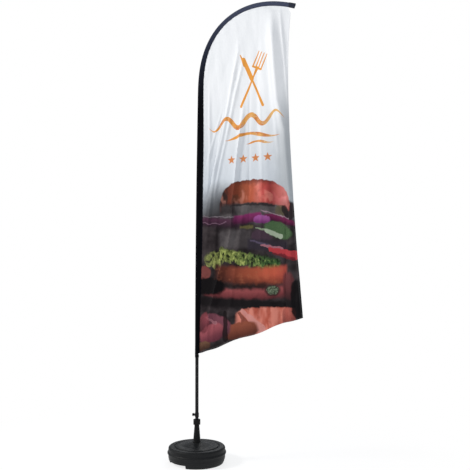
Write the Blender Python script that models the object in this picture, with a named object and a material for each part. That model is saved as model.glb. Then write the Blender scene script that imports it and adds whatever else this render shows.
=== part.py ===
"""Feather flag on a water-filled base, as separate pieces that turn, slide and unscrew.

Metres, +Z up. The floor is z = 0 and the mast turns about the Z axis.
+X runs from the mast to the flag's free edge, and +Y is behind the flag.
"""

import math

import bmesh
import bpy
import numpy as np
from mathutils import Matrix

# Gap left between pieces that touch, and the play of pieces that turn or slide.
GAP = 0.0003
PLAY = 0.0003

# Round pieces are turned with these numbers of facets.
FINE_FACETS = 40
FACETS = 24

# Base tank, a blow-moulded ring tank with a well in its middle.
TANK_RADIUS = 0.2195
TANK_WALL = 0.003
TANK_FOOT_INSET = 0.020
TANK_BELT_HEIGHT = 0.076
TANK_BELT_THICKNESS = 0.010
TANK_BELT_DEPTH = 0.0060
TANK_RIM_HEIGHT = 0.106
TANK_RIM_ROUND = 0.016
GROOVE_INSET = 0.0545
GROOVE_WIDTH = 0.012
GROOVE_DEPTH = 0.0065
PLATEAU_WIDTH = 0.046
PLATEAU_RISE = 0.003
DOME_RISE = 0.024
WATER_LEVEL = 0.094

# Two hand holds cut into the foot of the tank, opposite each other.
NOTCH_ANGLE = math.radians(237.0)
NOTCH_HALF_WIDTH = math.radians(32.0)
NOTCH_HEIGHT = 0.024
NOTCH_DEPTH = 0.056

# Filler on the plateau, behind the neck.
FILLER_ANGLE = math.radians(110.0)
FILLER_BORE_RADIUS = 0.0125
FILLER_WALL = 0.003
FILLER_HEIGHT = 0.010
CAP_CLEARANCE = 0.001
CAP_RADIUS = 0.019
CAP_TOP_THICKNESS = 0.004
CAP_LOBES = 12
CAP_LOBE_DEPTH = 0.0008
GASKET_THICKNESS = 0.0014

# Well in the tank: a wide mouth for the neck's spigot, and a narrow bottom for the lower bush.
WELL_FLOOR = 0.004
WELL_MOUTH_DEPTH = 0.027
SPIGOT_WALL = 0.0032

# Neck, screwed into the well's mouth.
SEAL_THICKNESS = 0.0015
NECK_FLANGE_RADIUS = 0.031
NECK_FLANGE_THICKNESS = 0.003
NECK_FOOT_RADIUS = 0.0278
NECK_SPIGOT_RADIUS = 0.0237
NECK_LENGTH = 0.1594
NECK_THREAD_WALL = 0.0030
NECK_THREAD_LENGTH = 0.033
NECK_SHOULDER_WIDTH = 0.001
BUSH_SEAT_LENGTH = 0.038

# Spindle, a steel bar that turns in two nylon bushes.
SPINDLE_RADIUS = 0.010
SHOULDER_CLEARANCE = 0.0025
SHOULDER_HEIGHT = 0.0085
BUSH_WALL = 0.0029
BUSH_FLANGE_WIDTH = 0.0031
BUSH_FLANGE_THICKNESS = 0.003
UPPER_BUSH_LENGTH = 0.0308
LOWER_BUSH_WALL = 0.0057
LOWER_BUSH_LENGTH = 0.046
LOWER_BUSH_FLOOR = 0.0045
CLIP_GROOVE_DEPTH = 0.0008
CLIP_THICKNESS = 0.0024
CLIP_WIDTH = 0.0033
CLIP_MOUTH = math.radians(60.0)
PEG_LENGTH = 0.1325
PEG_CHAMFER = 0.004

# Collar nut on the neck's thread, with a slip washer inside.
WASHER_THICKNESS = 0.0012
NUT_WALL = 0.0097
NUT_SKIRT = 0.031
NUT_TOP_THICKNESS = 0.0034
NUT_BEVEL = 0.003
NUT_LIP_PLAY = 0.0005
NUT_LOBES = 12
NUT_LOBE_DEPTH = 0.0009

# Mast, measured along its own length from the foot of the lower tube.
POLE_RADIUS = 0.0125
POLE_WALL = 0.0015
LOWER_LENGTH = 1.190
MIDDLE_LENGTH = 1.190
TOP_LENGTH = 1.1905
JOINT_ROD_LENGTH = 0.180
REDUCER_HEAD = 0.015
REDUCER_PLUG = 0.100
TOP_BASE_RADIUS = 0.0090
TOP_TIP_RADIUS = 0.0040
TOP_PLUG = 0.090
TIP_CAP_LENGTH = 0.030
TIP_CAP_WALL = 0.0019
TIP_CAP_END = 0.0037
SWEEP_STEP = 0.180
BEND_STEP = 0.055

# The mast leans a little, and its thin top bends right over.
LEAN = math.radians(1.0)
BEND = math.radians(108.0)
BEND_LENGTH = 1.300

# Clamp ring at the mast's foot, with its screw.
CLAMP_LIFT = 0.0057
CLAMP_HEIGHT = 0.030
CLAMP_WALL = 0.0027
CLAMP_BEVEL = 0.0012
BOSS_RADIUS = 0.0080
BOSS_LENGTH = 0.0067
SCREW_HOLE_RADIUS = 0.0048
PAD_RADIUS = 0.0042
PAD_PLAY = 0.0004
PAD_LENGTH = 0.0030
INSERT_LENGTH = 0.0037
INSERT_WALL = 0.0012
SCREW_RADIUS = 0.0030
KNOB_RADIUS = 0.0112
KNOB_LENGTH = 0.0115
KNOB_BEVEL = 0.0015
KNOB_LOBES = 6
KNOB_LOBE_DEPTH = 0.0011
KNOB_END_WALL = 0.003

# Sleeve of the flag, a pocket that the mast slides into.
CLOTH = 0.0012
SLEEVE_FOOT = 0.470
SLEEVE_FOOT_SPARE = 0.011
SLEEVE_BODY_SPARE = 0.029
SLEEVE_TIP_SPARE = 0.026
SLEEVE_WIDEN_LENGTH = 1.000
SLEEVE_NARROW_START = 1.900
SLEEVE_NARROW_LENGTH = 1.200
SLEEVE_EASE = 0.0008
SLEEVE_TIP_EASE = 0.0033
SLEEVE_ARC_POINTS = 9
SEAM_HALF = 0.0016
SEAM_TUCK = 0.004
BAND_HEIGHT = 0.0195
BAND_THICKNESS = 0.0014
POCKET_LENGTH = 0.045

# Printed panel. Its foot is one slanted line, and its free edge is a shallow curve.
HEM_SLOPE = 0.3705
PANEL_THICKNESS = 0.0012
PANEL_FOOT_WIDTH = 0.801
PANEL_TOP_REACH = 0.022
PANEL_TOP_DROP = 0.043
FREE_EDGE_BOW = 0.030
FREE_EDGE_TOP_BOW = 0.018
PANEL_COLUMNS = 8
PANEL_TIP_MARGIN = 0.006


# ---------------------------------------------------------------- derived places

RIM_TOP = TANK_RIM_HEIGHT + TANK_RIM_ROUND
GROOVE_RADIUS = TANK_RADIUS - GROOVE_INSET
PLATEAU_OUTER = GROOVE_RADIUS - GROOVE_WIDTH
PLATEAU_INNER = PLATEAU_OUTER - PLATEAU_WIDTH
PLATEAU_TOP = RIM_TOP + PLATEAU_RISE
TANK_SEAT = PLATEAU_TOP + DOME_RISE
WELL_MOUTH_RADIUS = NECK_SPIGOT_RADIUS + GAP
WELL_MOUTH_FLOOR = TANK_SEAT - WELL_MOUTH_DEPTH
SEAT_RADIUS = NECK_FLANGE_RADIUS + 0.005

LOWER_BUSH_RADIUS = SPINDLE_RADIUS + PLAY + LOWER_BUSH_WALL
WELL_RADIUS = LOWER_BUSH_RADIUS + GAP
LOWER_BUSH_FOOT = WELL_FLOOR + GAP
SPINDLE_FOOT = LOWER_BUSH_FOOT + LOWER_BUSH_FLOOR + GAP

NECK_SEAT = TANK_SEAT + GAP + SEAL_THICKNESS + GAP
NECK_TOP = NECK_SEAT + NECK_LENGTH
BUSH_BORE = SPINDLE_RADIUS + PLAY
BUSH_RADIUS = BUSH_BORE + BUSH_WALL
NECK_BORE = BUSH_RADIUS + GAP
NECK_THREAD_RADIUS = NECK_BORE + NECK_THREAD_WALL
BUSH_TOP = NECK_TOP + GAP + BUSH_FLANGE_THICKNESS
BUSH_FOOT = NECK_TOP + GAP - UPPER_BUSH_LENGTH
CLIP_TOP = BUSH_FOOT - GAP
CLIP_FOOT = CLIP_TOP - CLIP_THICKNESS

PEG_RADIUS = POLE_RADIUS - POLE_WALL - GAP
WASHER_FOOT = BUSH_TOP + GAP
NUT_CEILING = WASHER_FOOT + WASHER_THICKNESS + GAP
NUT_TOP = NUT_CEILING + NUT_TOP_THICKNESS
NUT_BORE = NECK_THREAD_RADIUS + PLAY
NUT_RADIUS = NUT_BORE + NUT_WALL
NUT_LIP_BORE = POLE_RADIUS + NUT_LIP_PLAY
SHOULDER_FOOT = NUT_TOP + SHOULDER_CLEARANCE
SHOULDER_TOP = SHOULDER_FOOT + SHOULDER_HEIGHT
MAST_FOOT = SHOULDER_TOP + GAP

MIDDLE_START = LOWER_LENGTH + 2 * GAP
MIDDLE_END = MIDDLE_START + MIDDLE_LENGTH
REDUCER_TOP = MIDDLE_END + GAP + REDUCER_HEAD
MAST_LENGTH = REDUCER_TOP + TOP_LENGTH
BEND_START = REDUCER_TOP

CLAMP_FOOT = MAST_FOOT + CLAMP_LIFT
CLAMP_BORE = POLE_RADIUS + GAP
CLAMP_RADIUS = CLAMP_BORE + CLAMP_WALL
BOSS_REACH = CLAMP_RADIUS + BOSS_LENGTH
SCREW_HEIGHT = CLAMP_FOOT + CLAMP_HEIGHT / 2
PAD_START = PEG_RADIUS + PAD_PLAY
STUD_START = PAD_START + PAD_LENGTH + GAP
INSERT_START = BOSS_REACH - INSERT_LENGTH
KNOB_START = BOSS_REACH + 2 * PLAY
KNOB_END = KNOB_START + KNOB_LENGTH
STUD_END = KNOB_END - KNOB_END_WALL - GAP

SLEEVE_RADIUS = POLE_RADIUS + GAP + SLEEVE_EASE + CLOTH
SLEEVE_TIP_RADIUS = TOP_TIP_RADIUS + SLEEVE_TIP_EASE + CLOTH
SLEEVE_FOOT_WIDTH = 2 * POLE_RADIUS + SLEEVE_FOOT_SPARE
SLEEVE_BODY_WIDTH = 2 * POLE_RADIUS + SLEEVE_BODY_SPARE
SLEEVE_TIP_WIDTH = 2 * TOP_TIP_RADIUS + SLEEVE_TIP_SPARE
FILLER_RADIUS = (PLATEAU_OUTER + PLATEAU_INNER) / 2
FILLER_X = FILLER_RADIUS * math.cos(FILLER_ANGLE)
FILLER_Y = FILLER_RADIUS * math.sin(FILLER_ANGLE)
FILLER_MOUTH = PLATEAU_TOP + FILLER_HEIGHT


# ---------------------------------------------------------------- materials

def plain_material(name, colour, roughness, metallic=0.0):
    material = bpy.data.materials.new(name)
    material.use_nodes = True
    shader = material.node_tree.nodes["Principled BSDF"]
    shader.inputs["Base Color"].default_value = (*colour, 1.0)
    shader.inputs["Roughness"].default_value = roughness
    shader.inputs["Metallic"].default_value = metallic
    material.diffuse_color = (*colour, 1.0)
    return material


def make_materials():
    return {
        "base_plastic": plain_material("base_plastic", (0.035, 0.036, 0.038), 0.55),
        "hard_plastic": plain_material("hard_plastic", (0.016, 0.016, 0.018), 0.42),
        "nylon": plain_material("nylon", (0.72, 0.71, 0.66), 0.5),
        "water": plain_material("water", (0.45, 0.60, 0.66), 0.1),
        "rubber": plain_material("rubber", (0.012, 0.012, 0.012), 0.8),
        "steel": plain_material("steel", (0.55, 0.56, 0.57), 0.32, 1.0),
        "brass": plain_material("brass", (0.70, 0.52, 0.22), 0.35, 1.0),
        "pole_black": plain_material("pole_black", (0.022, 0.023, 0.026), 0.38, 0.6),
        "fibreglass": plain_material("fibreglass", (0.02, 0.02, 0.02), 0.35),
        "sleeve_cloth": plain_material("sleeve_cloth", (0.010, 0.011, 0.022), 0.8),
        "panel_cloth": plain_material("panel_cloth", (0.86, 0.87, 0.90), 0.75),
    }


# ---------------------------------------------------------------- shape helpers

def smoothstep(t):
    t = np.clip(t, 0.0, 1.0)
    return t * t * (3.0 - 2.0 * t)


def arc(centre, radius, start, end, steps):
    """Points on an arc in a half section, from start to end in degrees."""
    angles = np.radians(np.linspace(start, end, steps + 1))
    return [(centre[0] + radius * math.cos(a), centre[1] + radius * math.sin(a)) for a in angles]


def inset_loop(points, distance):
    """A closed half section moved inwards by distance. The loop runs anticlockwise."""
    loop = np.array(points)
    before = loop - np.roll(loop, 1, axis=0)
    after = np.roll(loop, -1, axis=0) - loop
    before /= np.linalg.norm(before, axis=1)[:, None]
    after /= np.linalg.norm(after, axis=1)[:, None]
    inwards_before = np.stack([-before[:, 1], before[:, 0]], axis=1)
    inwards_after = np.stack([-after[:, 1], after[:, 0]], axis=1)
    turn = 1.0 + (inwards_before * inwards_after).sum(axis=1)
    moved = loop + distance * (inwards_before + inwards_after) / turn[:, None]
    return [tuple(p) for p in moved]


def turned(section, facets=FACETS, closed=True, sweep=2 * math.pi):
    """A mesh turned about Z from a half section of (radius, height) points."""
    bm = bmesh.new()
    verts = [bm.verts.new((r, 0.0, z)) for r, z in section]
    pairs = list(zip(verts, verts[1:]))
    if closed:
        pairs.append((verts[-1], verts[0]))
    edges = [bm.edges.new(pair) for pair in pairs]
    whole = abs(sweep - 2 * math.pi) < 1e-9
    bmesh.ops.spin(
        bm,
        geom=verts + edges,
        cent=(0, 0, 0),
        axis=(0, 0, 1),
        angle=sweep,
        steps=facets,
        use_merge=whole,
    )
    bmesh.ops.remove_doubles(bm, verts=bm.verts, dist=1e-6)
    if not whole:
        bmesh.ops.holes_fill(bm, edges=[e for e in bm.edges if e.is_boundary])
    bmesh.ops.recalc_face_normals(bm, faces=bm.faces)
    return bm


def lofted(loops, cap_start=True, cap_end=True):
    """A mesh through closed loops that all have the same number of points."""
    bm = bmesh.new()
    rings = [[bm.verts.new(point) for point in loop] for loop in loops]
    for ring, following in zip(rings, rings[1:]):
        for i in range(len(ring)):
            j = (i + 1) % len(ring)
            bm.faces.new((ring[i], ring[j], following[j], following[i]))
    if cap_start:
        bm.faces.new(rings[0])
    if cap_end:
        bm.faces.new(rings[-1])
    bmesh.ops.recalc_face_normals(bm, faces=bm.faces)
    return bm


def flute(bm, lobes, depth, beyond):
    """Presses evenly spaced grip hollows into the outer wall of a turned mesh."""
    for vert in bm.verts:
        radius = math.hypot(vert.co.x, vert.co.y)
        if radius > beyond:
            angle = math.atan2(vert.co.y, vert.co.x)
            pressed = radius - depth * (0.5 - 0.5 * math.cos(lobes * angle))
            vert.co.x *= pressed / radius
            vert.co.y *= pressed / radius


def add_piece(name, bm, material, parent=None, place=(0.0, 0.0, 0.0), turn=(0.0, 0.0, 0.0)):
    """Makes the object. Its mesh is about its own origin, which is on its joint's axis."""
    mesh = bpy.data.meshes.new(name)
    bm.to_mesh(mesh)
    bm.free()
    mesh.materials.append(material)
    mesh.shade_smooth()
    mesh.set_sharp_from_angle(angle=math.radians(35.0))
    piece = bpy.data.objects.new(name, mesh)
    bpy.context.scene.collection.objects.link(piece)
    piece.location = place
    piece.rotation_euler = turn
    piece.parent = parent
    return piece


def add_cutter(name, bm, place=(0.0, 0.0, 0.0), turn=(0.0, 0.0, 0.0)):
    mesh = bpy.data.meshes.new(name)
    bm.to_mesh(mesh)
    bm.free()
    cutter = bpy.data.objects.new(name, mesh)
    bpy.context.scene.collection.objects.link(cutter)
    cutter.location = place
    cutter.rotation_euler = turn
    cutter.hide_render = True
    cutter.display_type = "WIRE"
    return cutter


def combine(piece, other, operation):
    modifier = piece.modifiers.new(other.name, "BOOLEAN")
    modifier.operation = operation
    modifier.solver = "EXACT"
    modifier.object = other


def cut(piece, cutter):
    combine(piece, cutter, "DIFFERENCE")


def add_axis(name, place=(0.0, 0.0, 0.0), parent=None, turn=(0.0, 0.0, 0.0)):
    """An empty on a joint's axis, which carries the pieces that move on it."""
    empty = bpy.data.objects.new(name, None)
    bpy.context.scene.collection.objects.link(empty)
    empty.location = place
    empty.rotation_euler = turn
    empty.parent = parent
    return empty


def cylinder_section(radius, foot, top):
    return [(0.0, foot), (radius, foot), (radius, top), (0.0, top)]


def ring_section(inner, outer, foot, top):
    return [(inner, foot), (outer, foot), (outer, top), (inner, top)]


# ---------------------------------------------------------------- the mast's curve

def mast_table():
    """Heading from the vertical and position along the mast, from its foot to past its tip."""
    along = np.linspace(0.0, MAST_LENGTH + 0.05, 1800)
    lean = LEAN * smoothstep(along / BEND_START)
    heading = lean + BEND * smoothstep((along - BEND_START) / BEND_LENGTH)
    middle = (heading[1:] + heading[:-1]) / 2
    step = along[1] - along[0]
    x = np.concatenate([[0.0], np.cumsum(np.sin(middle) * step)])
    z = MAST_FOOT + np.concatenate([[0.0], np.cumsum(np.cos(middle) * step)])
    return along, heading, x, z


MAST = mast_table()


def mast_frame(distance):
    """Centre of the mast, its direction and the direction towards the flag, in the XZ plane."""
    along, headings, xs, zs = MAST
    heading = np.interp(distance, along, headings)
    centre = np.array([np.interp(distance, along, xs), np.interp(distance, along, zs)])
    if distance < 0:
        centre = centre + np.array([0.0, distance])
    onward = np.array([math.sin(heading), math.cos(heading)])
    inward = np.array([math.cos(heading), -math.sin(heading)])
    return centre, onward, inward


def bend_on_mast(bm):
    """Moves a mesh modelled straight up Z on to the mast's curve."""
    for vert in bm.verts:
        centre, _, inward = mast_frame(vert.co.z)
        spot = centre + inward * vert.co.x
        vert.co.x = spot[0]
        vert.co.z = spot[1]
    return bm


def stations(start, end):
    """Distances along the mast from start to end, closer together where it bends."""
    straight = max(min(end, BEND_START) - start, 0.0)
    bent = max(end - max(start, BEND_START), 0.0)
    straight_steps = math.ceil(straight / SWEEP_STEP)
    bent_steps = math.ceil(bent / BEND_STEP)
    points = list(np.linspace(start, min(end, BEND_START), straight_steps + 1)) if straight else [start]
    if bent:
        points += list(np.linspace(max(start, BEND_START), end, bent_steps + 1))[1:]
    return points


# ---------------------------------------------------------------- base tank and what it holds

def tank_loop():
    """Half section of the tank, anticlockwise, from the well's bottom round the outside."""
    side = TANK_RADIUS - TANK_BELT_DEPTH
    belt_low = TANK_BELT_HEIGHT - TANK_BELT_THICKNESS / 2
    belt_high = TANK_BELT_HEIGHT + TANK_BELT_THICKNESS / 2
    rim_centre = (side - 0.001 - TANK_RIM_ROUND, TANK_RIM_HEIGHT)
    groove_floor = RIM_TOP - GROOVE_DEPTH
    half_groove = GROOVE_WIDTH / 2
    return [
        (WELL_RADIUS, 0.0),
        (TANK_RADIUS - TANK_FOOT_INSET, 0.0),
        (side - 0.003, 0.034),
        (side, belt_low - 0.008),
        (TANK_RADIUS, belt_low),
        (TANK_RADIUS, belt_high),
        (side, belt_high + 0.006),
        *arc(rim_centre, TANK_RIM_ROUND, 0.0, 90.0, 3),
        (GROOVE_RADIUS + half_groove, RIM_TOP),
        (GROOVE_RADIUS + half_groove - 0.003, groove_floor),
        (GROOVE_RADIUS - half_groove + 0.003, groove_floor),
        (PLATEAU_OUTER + half_groove - 0.001, PLATEAU_TOP - 0.001),
        (PLATEAU_INNER, PLATEAU_TOP),
        (SEAT_RADIUS + 0.004, TANK_SEAT - 0.0015),
        (SEAT_RADIUS, TANK_SEAT),
        (WELL_MOUTH_RADIUS, TANK_SEAT),
        (WELL_MOUTH_RADIUS, WELL_MOUTH_FLOOR),
        (WELL_RADIUS, WELL_MOUTH_FLOOR),
    ]


def tank_section():
    """The same half section with the well's floor, closed on the axis."""
    loop = tank_loop()
    return [(0.0, 0.0)] + loop[1:] + [(WELL_RADIUS, WELL_FLOOR), (0.0, WELL_FLOOR)]


def notch_block(angle, grow):
    """A block that cuts one hand hold, or with grow the same hold with a wall round it."""
    inner = TANK_RADIUS - TANK_FOOT_INSET - NOTCH_DEPTH - grow
    outer = TANK_RADIUS + 0.030
    roof = NOTCH_HEIGHT + grow
    section = [(inner, -0.010), (outer, -0.010), (outer, roof), (inner + 0.006, roof), (inner, roof - 0.006)]
    half = NOTCH_HALF_WIDTH + grow / inner
    bm = turned(section, facets=8, sweep=2 * half)
    bmesh.ops.rotate(bm, verts=bm.verts, cent=(0, 0, 0), matrix=Matrix.Rotation(angle - half, 3, "Z"))
    return bm


def notch_cutters(label, grow):
    angles = (NOTCH_ANGLE, NOTCH_ANGLE - math.pi)
    return [add_cutter(f"cut_{label}_{i}", notch_block(angle, grow)) for i, angle in enumerate(angles)]


def make_tank(materials, root):
    tank = add_piece("base_tank", turned(tank_section(), FINE_FACETS, closed=False), materials["base_plastic"], root)
    for notch in notch_cutters("notch", 0.0):
        cut(tank, notch)

    boss = turned(cylinder_section(FILLER_BORE_RADIUS + FILLER_WALL, PLATEAU_TOP - 0.0022, FILLER_MOUTH))
    combine(tank, add_cutter("join_filler_boss", boss, (FILLER_X, FILLER_Y, 0.0)), "UNION")

    void = add_cutter("cut_void", turned(inset_loop(tank_loop(), TANK_WALL), FINE_FACETS))
    for notch in notch_cutters("void_notch", TANK_WALL):
        cut(void, notch)
    cut(tank, void)

    bore = turned(cylinder_section(FILLER_BORE_RADIUS, RIM_TOP - 0.012, FILLER_MOUTH + 0.010))
    cut(tank, add_cutter("cut_filler_bore", bore, (FILLER_X, FILLER_Y, 0.0)))


def make_water(materials, root):
    """The water, a ring that fills the tank up to its level."""
    space = TANK_WALL + GAP
    bm = turned(inset_loop(tank_loop(), space), FINE_FACETS)
    everything = bm.verts[:] + bm.edges[:] + bm.faces[:]
    bmesh.ops.bisect_plane(
        bm, geom=everything, plane_co=(0, 0, WATER_LEVEL), plane_no=(0, 0, 1), clear_outer=True, dist=1e-7
    )
    bmesh.ops.bridge_loops(bm, edges=[e for e in bm.edges if e.is_boundary])
    bmesh.ops.recalc_face_normals(bm, faces=bm.faces)
    water = add_piece("ballast_water", bm, materials["water"], root)
    for notch in notch_cutters("water_notch", space):
        cut(water, notch)


def make_filler(materials, root):
    """Screw cap over the filler's boss, and the gasket inside it that lifts with it."""
    boss_radius = FILLER_BORE_RADIUS + FILLER_WALL
    axis = add_axis("filler_axis", (FILLER_X, FILLER_Y, 0.0), root)
    gasket_foot = FILLER_MOUTH + GAP
    gasket_top = gasket_foot + GASKET_THICKNESS
    gasket = turned(cylinder_section(boss_radius - 0.0005, gasket_foot, gasket_top))
    add_piece("filler_gasket", gasket, materials["rubber"], axis)

    skirt = PLATEAU_TOP + CAP_CLEARANCE
    ceiling = gasket_top + GAP
    top = ceiling + CAP_TOP_THICKNESS
    bevel = 0.0015
    section = [
        (boss_radius + PLAY, skirt),
        (CAP_RADIUS, skirt),
        (CAP_RADIUS, top - bevel),
        (CAP_RADIUS - bevel, top),
        (CAP_RADIUS * 0.62, top),
        (CAP_RADIUS * 0.55, top - 0.0012),
        (0.0, top - 0.0012),
        (0.0, ceiling),
        (boss_radius + PLAY, ceiling),
    ]
    cap = turned(section, FINE_FACETS)
    flute(cap, CAP_LOBES, CAP_LOBE_DEPTH, boss_radius + 0.0015)
    add_piece("filler_cap", cap, materials["hard_plastic"], axis)


# ---------------------------------------------------------------- neck, bushes and collar nut

def make_neck(materials, root):
    seal = ring_section(WELL_MOUTH_RADIUS + GAP, NECK_FLANGE_RADIUS - 0.0005, TANK_SEAT + GAP, NECK_SEAT - GAP)
    add_piece("neck_seal", turned(seal), materials["rubber"], root)

    thread_foot = NECK_TOP - NECK_THREAD_LENGTH
    flange_top = NECK_SEAT + NECK_FLANGE_THICKNESS
    cone_top = NECK_THREAD_RADIUS + NECK_SHOULDER_WIDTH
    spigot_foot = WELL_MOUTH_FLOOR + GAP
    spigot_bore = NECK_SPIGOT_RADIUS - SPIGOT_WALL
    section = [
        (spigot_bore, spigot_foot),
        (NECK_SPIGOT_RADIUS, spigot_foot),
        (NECK_SPIGOT_RADIUS, NECK_SEAT),
        (NECK_FLANGE_RADIUS, NECK_SEAT),
        (NECK_FLANGE_RADIUS, flange_top - 0.001),
        (NECK_FLANGE_RADIUS - 0.001, flange_top),
        (NECK_FOOT_RADIUS, flange_top + 0.0015),
        (cone_top, thread_foot),
        (NECK_THREAD_RADIUS, thread_foot),
        (NECK_THREAD_RADIUS, NECK_TOP),
        (NECK_BORE, NECK_TOP),
        (NECK_BORE, NECK_TOP - BUSH_SEAT_LENGTH),
        (spigot_bore, NECK_SEAT + 0.045),
    ]
    add_piece("base_neck", turned(section, 32), materials["hard_plastic"], root)


def make_bushes(materials, root):
    lower_top = LOWER_BUSH_FOOT + LOWER_BUSH_LENGTH
    lower_floor = LOWER_BUSH_FOOT + LOWER_BUSH_FLOOR
    lower = [
        (0.0, LOWER_BUSH_FOOT),
        (LOWER_BUSH_RADIUS, LOWER_BUSH_FOOT),
        (LOWER_BUSH_RADIUS, lower_top),
        (BUSH_BORE, lower_top),
        (BUSH_BORE, lower_floor),
        (0.0, lower_floor),
    ]
    add_piece("lower_bush", turned(lower, closed=False), materials["nylon"], root)

    flange_foot = NECK_TOP + GAP
    flange_radius = BUSH_RADIUS + BUSH_FLANGE_WIDTH
    upper = [
        (BUSH_BORE, BUSH_FOOT),
        (BUSH_RADIUS, BUSH_FOOT),
        (BUSH_RADIUS, flange_foot),
        (flange_radius, flange_foot),
        (flange_radius, BUSH_TOP),
        (BUSH_BORE, BUSH_TOP),
    ]
    add_piece("upper_bush", turned(upper), materials["nylon"], root)


def make_collar(materials, root):
    """Collar nut, and the slip washer under its lip that rises with it."""
    axis = add_axis("collar_axis", parent=root)
    washer = ring_section(NUT_LIP_BORE + GAP, NUT_BORE - 0.0005, WASHER_FOOT, WASHER_FOOT + WASHER_THICKNESS)
    add_piece("collar_washer", turned(washer), materials["nylon"], axis)

    foot = NECK_TOP - NUT_SKIRT
    section = [
        (NUT_BORE, foot),
        (NUT_RADIUS - 0.001, foot),
        (NUT_RADIUS, foot + 0.001),
        (NUT_RADIUS, NUT_TOP - NUT_BEVEL),
        (NUT_RADIUS - NUT_BEVEL, NUT_TOP),
        (NUT_LIP_BORE, NUT_TOP),
        (NUT_LIP_BORE, NUT_CEILING),
        (NUT_BORE, NUT_CEILING),
    ]
    nut = turned(section, FINE_FACETS)
    flute(nut, NUT_LOBES, NUT_LOBE_DEPTH, NUT_BORE + 0.004)
    add_piece("collar_nut", nut, materials["hard_plastic"], axis)


# ---------------------------------------------------------------- spindle

def make_spindle(materials, root):
    axis = add_axis("spindle_axis", parent=root)
    groove = SPINDLE_RADIUS - CLIP_GROOVE_DEPTH
    peg_top = SHOULDER_TOP + PEG_LENGTH
    section = [
        (0.0, SPINDLE_FOOT),
        (SPINDLE_RADIUS - 0.0015, SPINDLE_FOOT),
        (SPINDLE_RADIUS, SPINDLE_FOOT + 0.0015),
        (SPINDLE_RADIUS, CLIP_FOOT - GAP),
        (groove, CLIP_FOOT - GAP),
        (groove, CLIP_TOP + GAP),
        (SPINDLE_RADIUS, CLIP_TOP + GAP),
        (SPINDLE_RADIUS, SHOULDER_FOOT),
        (POLE_RADIUS, SHOULDER_FOOT),
        (POLE_RADIUS, SHOULDER_TOP),
        (PEG_RADIUS, SHOULDER_TOP),
        (PEG_RADIUS, peg_top - PEG_CHAMFER),
        (PEG_RADIUS - 0.002, peg_top),
        (0.0, peg_top),
    ]
    add_piece("spindle", turned(section, closed=False), materials["steel"], axis)

    inner = groove + GAP
    clip = turned(ring_section(inner, inner + CLIP_WIDTH, CLIP_FOOT, CLIP_TOP), 16, sweep=2 * math.pi - CLIP_MOUTH)
    add_piece("spindle_clip", clip, materials["steel"], axis)
    return axis


# ---------------------------------------------------------------- mast

def tube_section(inner, outer, start, end):
    """Half section of a tube with a point at every station, so that it can bend."""
    outside = [(outer, s) for s in stations(start, end)]
    inside = [(inner, s) for s in reversed(stations(start, end))]
    return outside + inside


def screw_cylinder(radius, start, end, facets=16):
    """A cylinder about the clamp screw's own axis, with distances from the mast's centre."""
    return turned(cylinder_section(radius, start, end), facets)


def make_tubes(materials, mast, screw_turn):
    bore = POLE_RADIUS - POLE_WALL
    lower = bend_on_mast(turned(tube_section(bore, POLE_RADIUS, 0.0, LOWER_LENGTH)))
    lower = add_piece("pole_lower", lower, materials["pole_black"], mast)
    hole = screw_cylinder(SCREW_HOLE_RADIUS, bore - 0.004, CLAMP_RADIUS)
    cut(lower, add_cutter("cut_screw_hole", hole, (0.0, 0.0, SCREW_HEIGHT), screw_turn))

    middle = bend_on_mast(turned(tube_section(bore, POLE_RADIUS, MIDDLE_START, MIDDLE_END)))
    add_piece("pole_middle", middle, materials["pole_black"], mast)

    half = JOINT_ROD_LENGTH / 2
    joint = LOWER_LENGTH + GAP
    rod = turned([(0.0, joint - half), (PEG_RADIUS, joint - half), (PEG_RADIUS, joint + half), (0.0, joint + half)])
    add_piece("joint_rod", bend_on_mast(rod), materials["steel"], mast)


def top_radius(distance):
    start = REDUCER_TOP - TOP_PLUG
    return np.interp(distance, [start, MAST_LENGTH], [TOP_BASE_RADIUS, TOP_TIP_RADIUS])


def make_top(materials, mast):
    """Fibreglass top that bends, the reducer it plugs into, and the cap on its tip."""
    bore = TOP_BASE_RADIUS + GAP
    head_foot = MIDDLE_END + GAP
    plug_foot = MIDDLE_END - REDUCER_PLUG
    reducer = [
        (bore, plug_foot),
        (PEG_RADIUS, plug_foot),
        (PEG_RADIUS, head_foot),
        (POLE_RADIUS, head_foot),
        (POLE_RADIUS, REDUCER_TOP - 0.002),
        (POLE_RADIUS - 0.0015, REDUCER_TOP),
        (bore, REDUCER_TOP),
    ]
    add_piece("pole_reducer", bend_on_mast(turned(reducer)), materials["hard_plastic"], mast)

    foot = REDUCER_TOP - TOP_PLUG
    tip = MAST_LENGTH - 0.008
    outside = [(top_radius(s), s) for s in stations(foot, tip)]
    rod = turned([(0.0, foot)] + outside + [(0.0, tip)], 16, closed=False)
    add_piece("pole_top", bend_on_mast(rod), materials["fibreglass"], mast)

    cap_start = tip - TIP_CAP_LENGTH
    cap_bore = top_radius(cap_start) + GAP
    cap_radius = cap_bore + TIP_CAP_WALL
    cap_end = tip + TIP_CAP_END
    cap = [
        (cap_bore, cap_start),
        (cap_radius, cap_start),
        (cap_radius, cap_end - 0.002),
        (cap_radius - 0.002, cap_end),
        (0.0, cap_end),
        (0.0, tip + GAP),
        (cap_bore, tip + GAP),
    ]
    add_piece("pole_tip_cap", bend_on_mast(turned(cap, 16)), materials["rubber"], mast)


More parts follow.
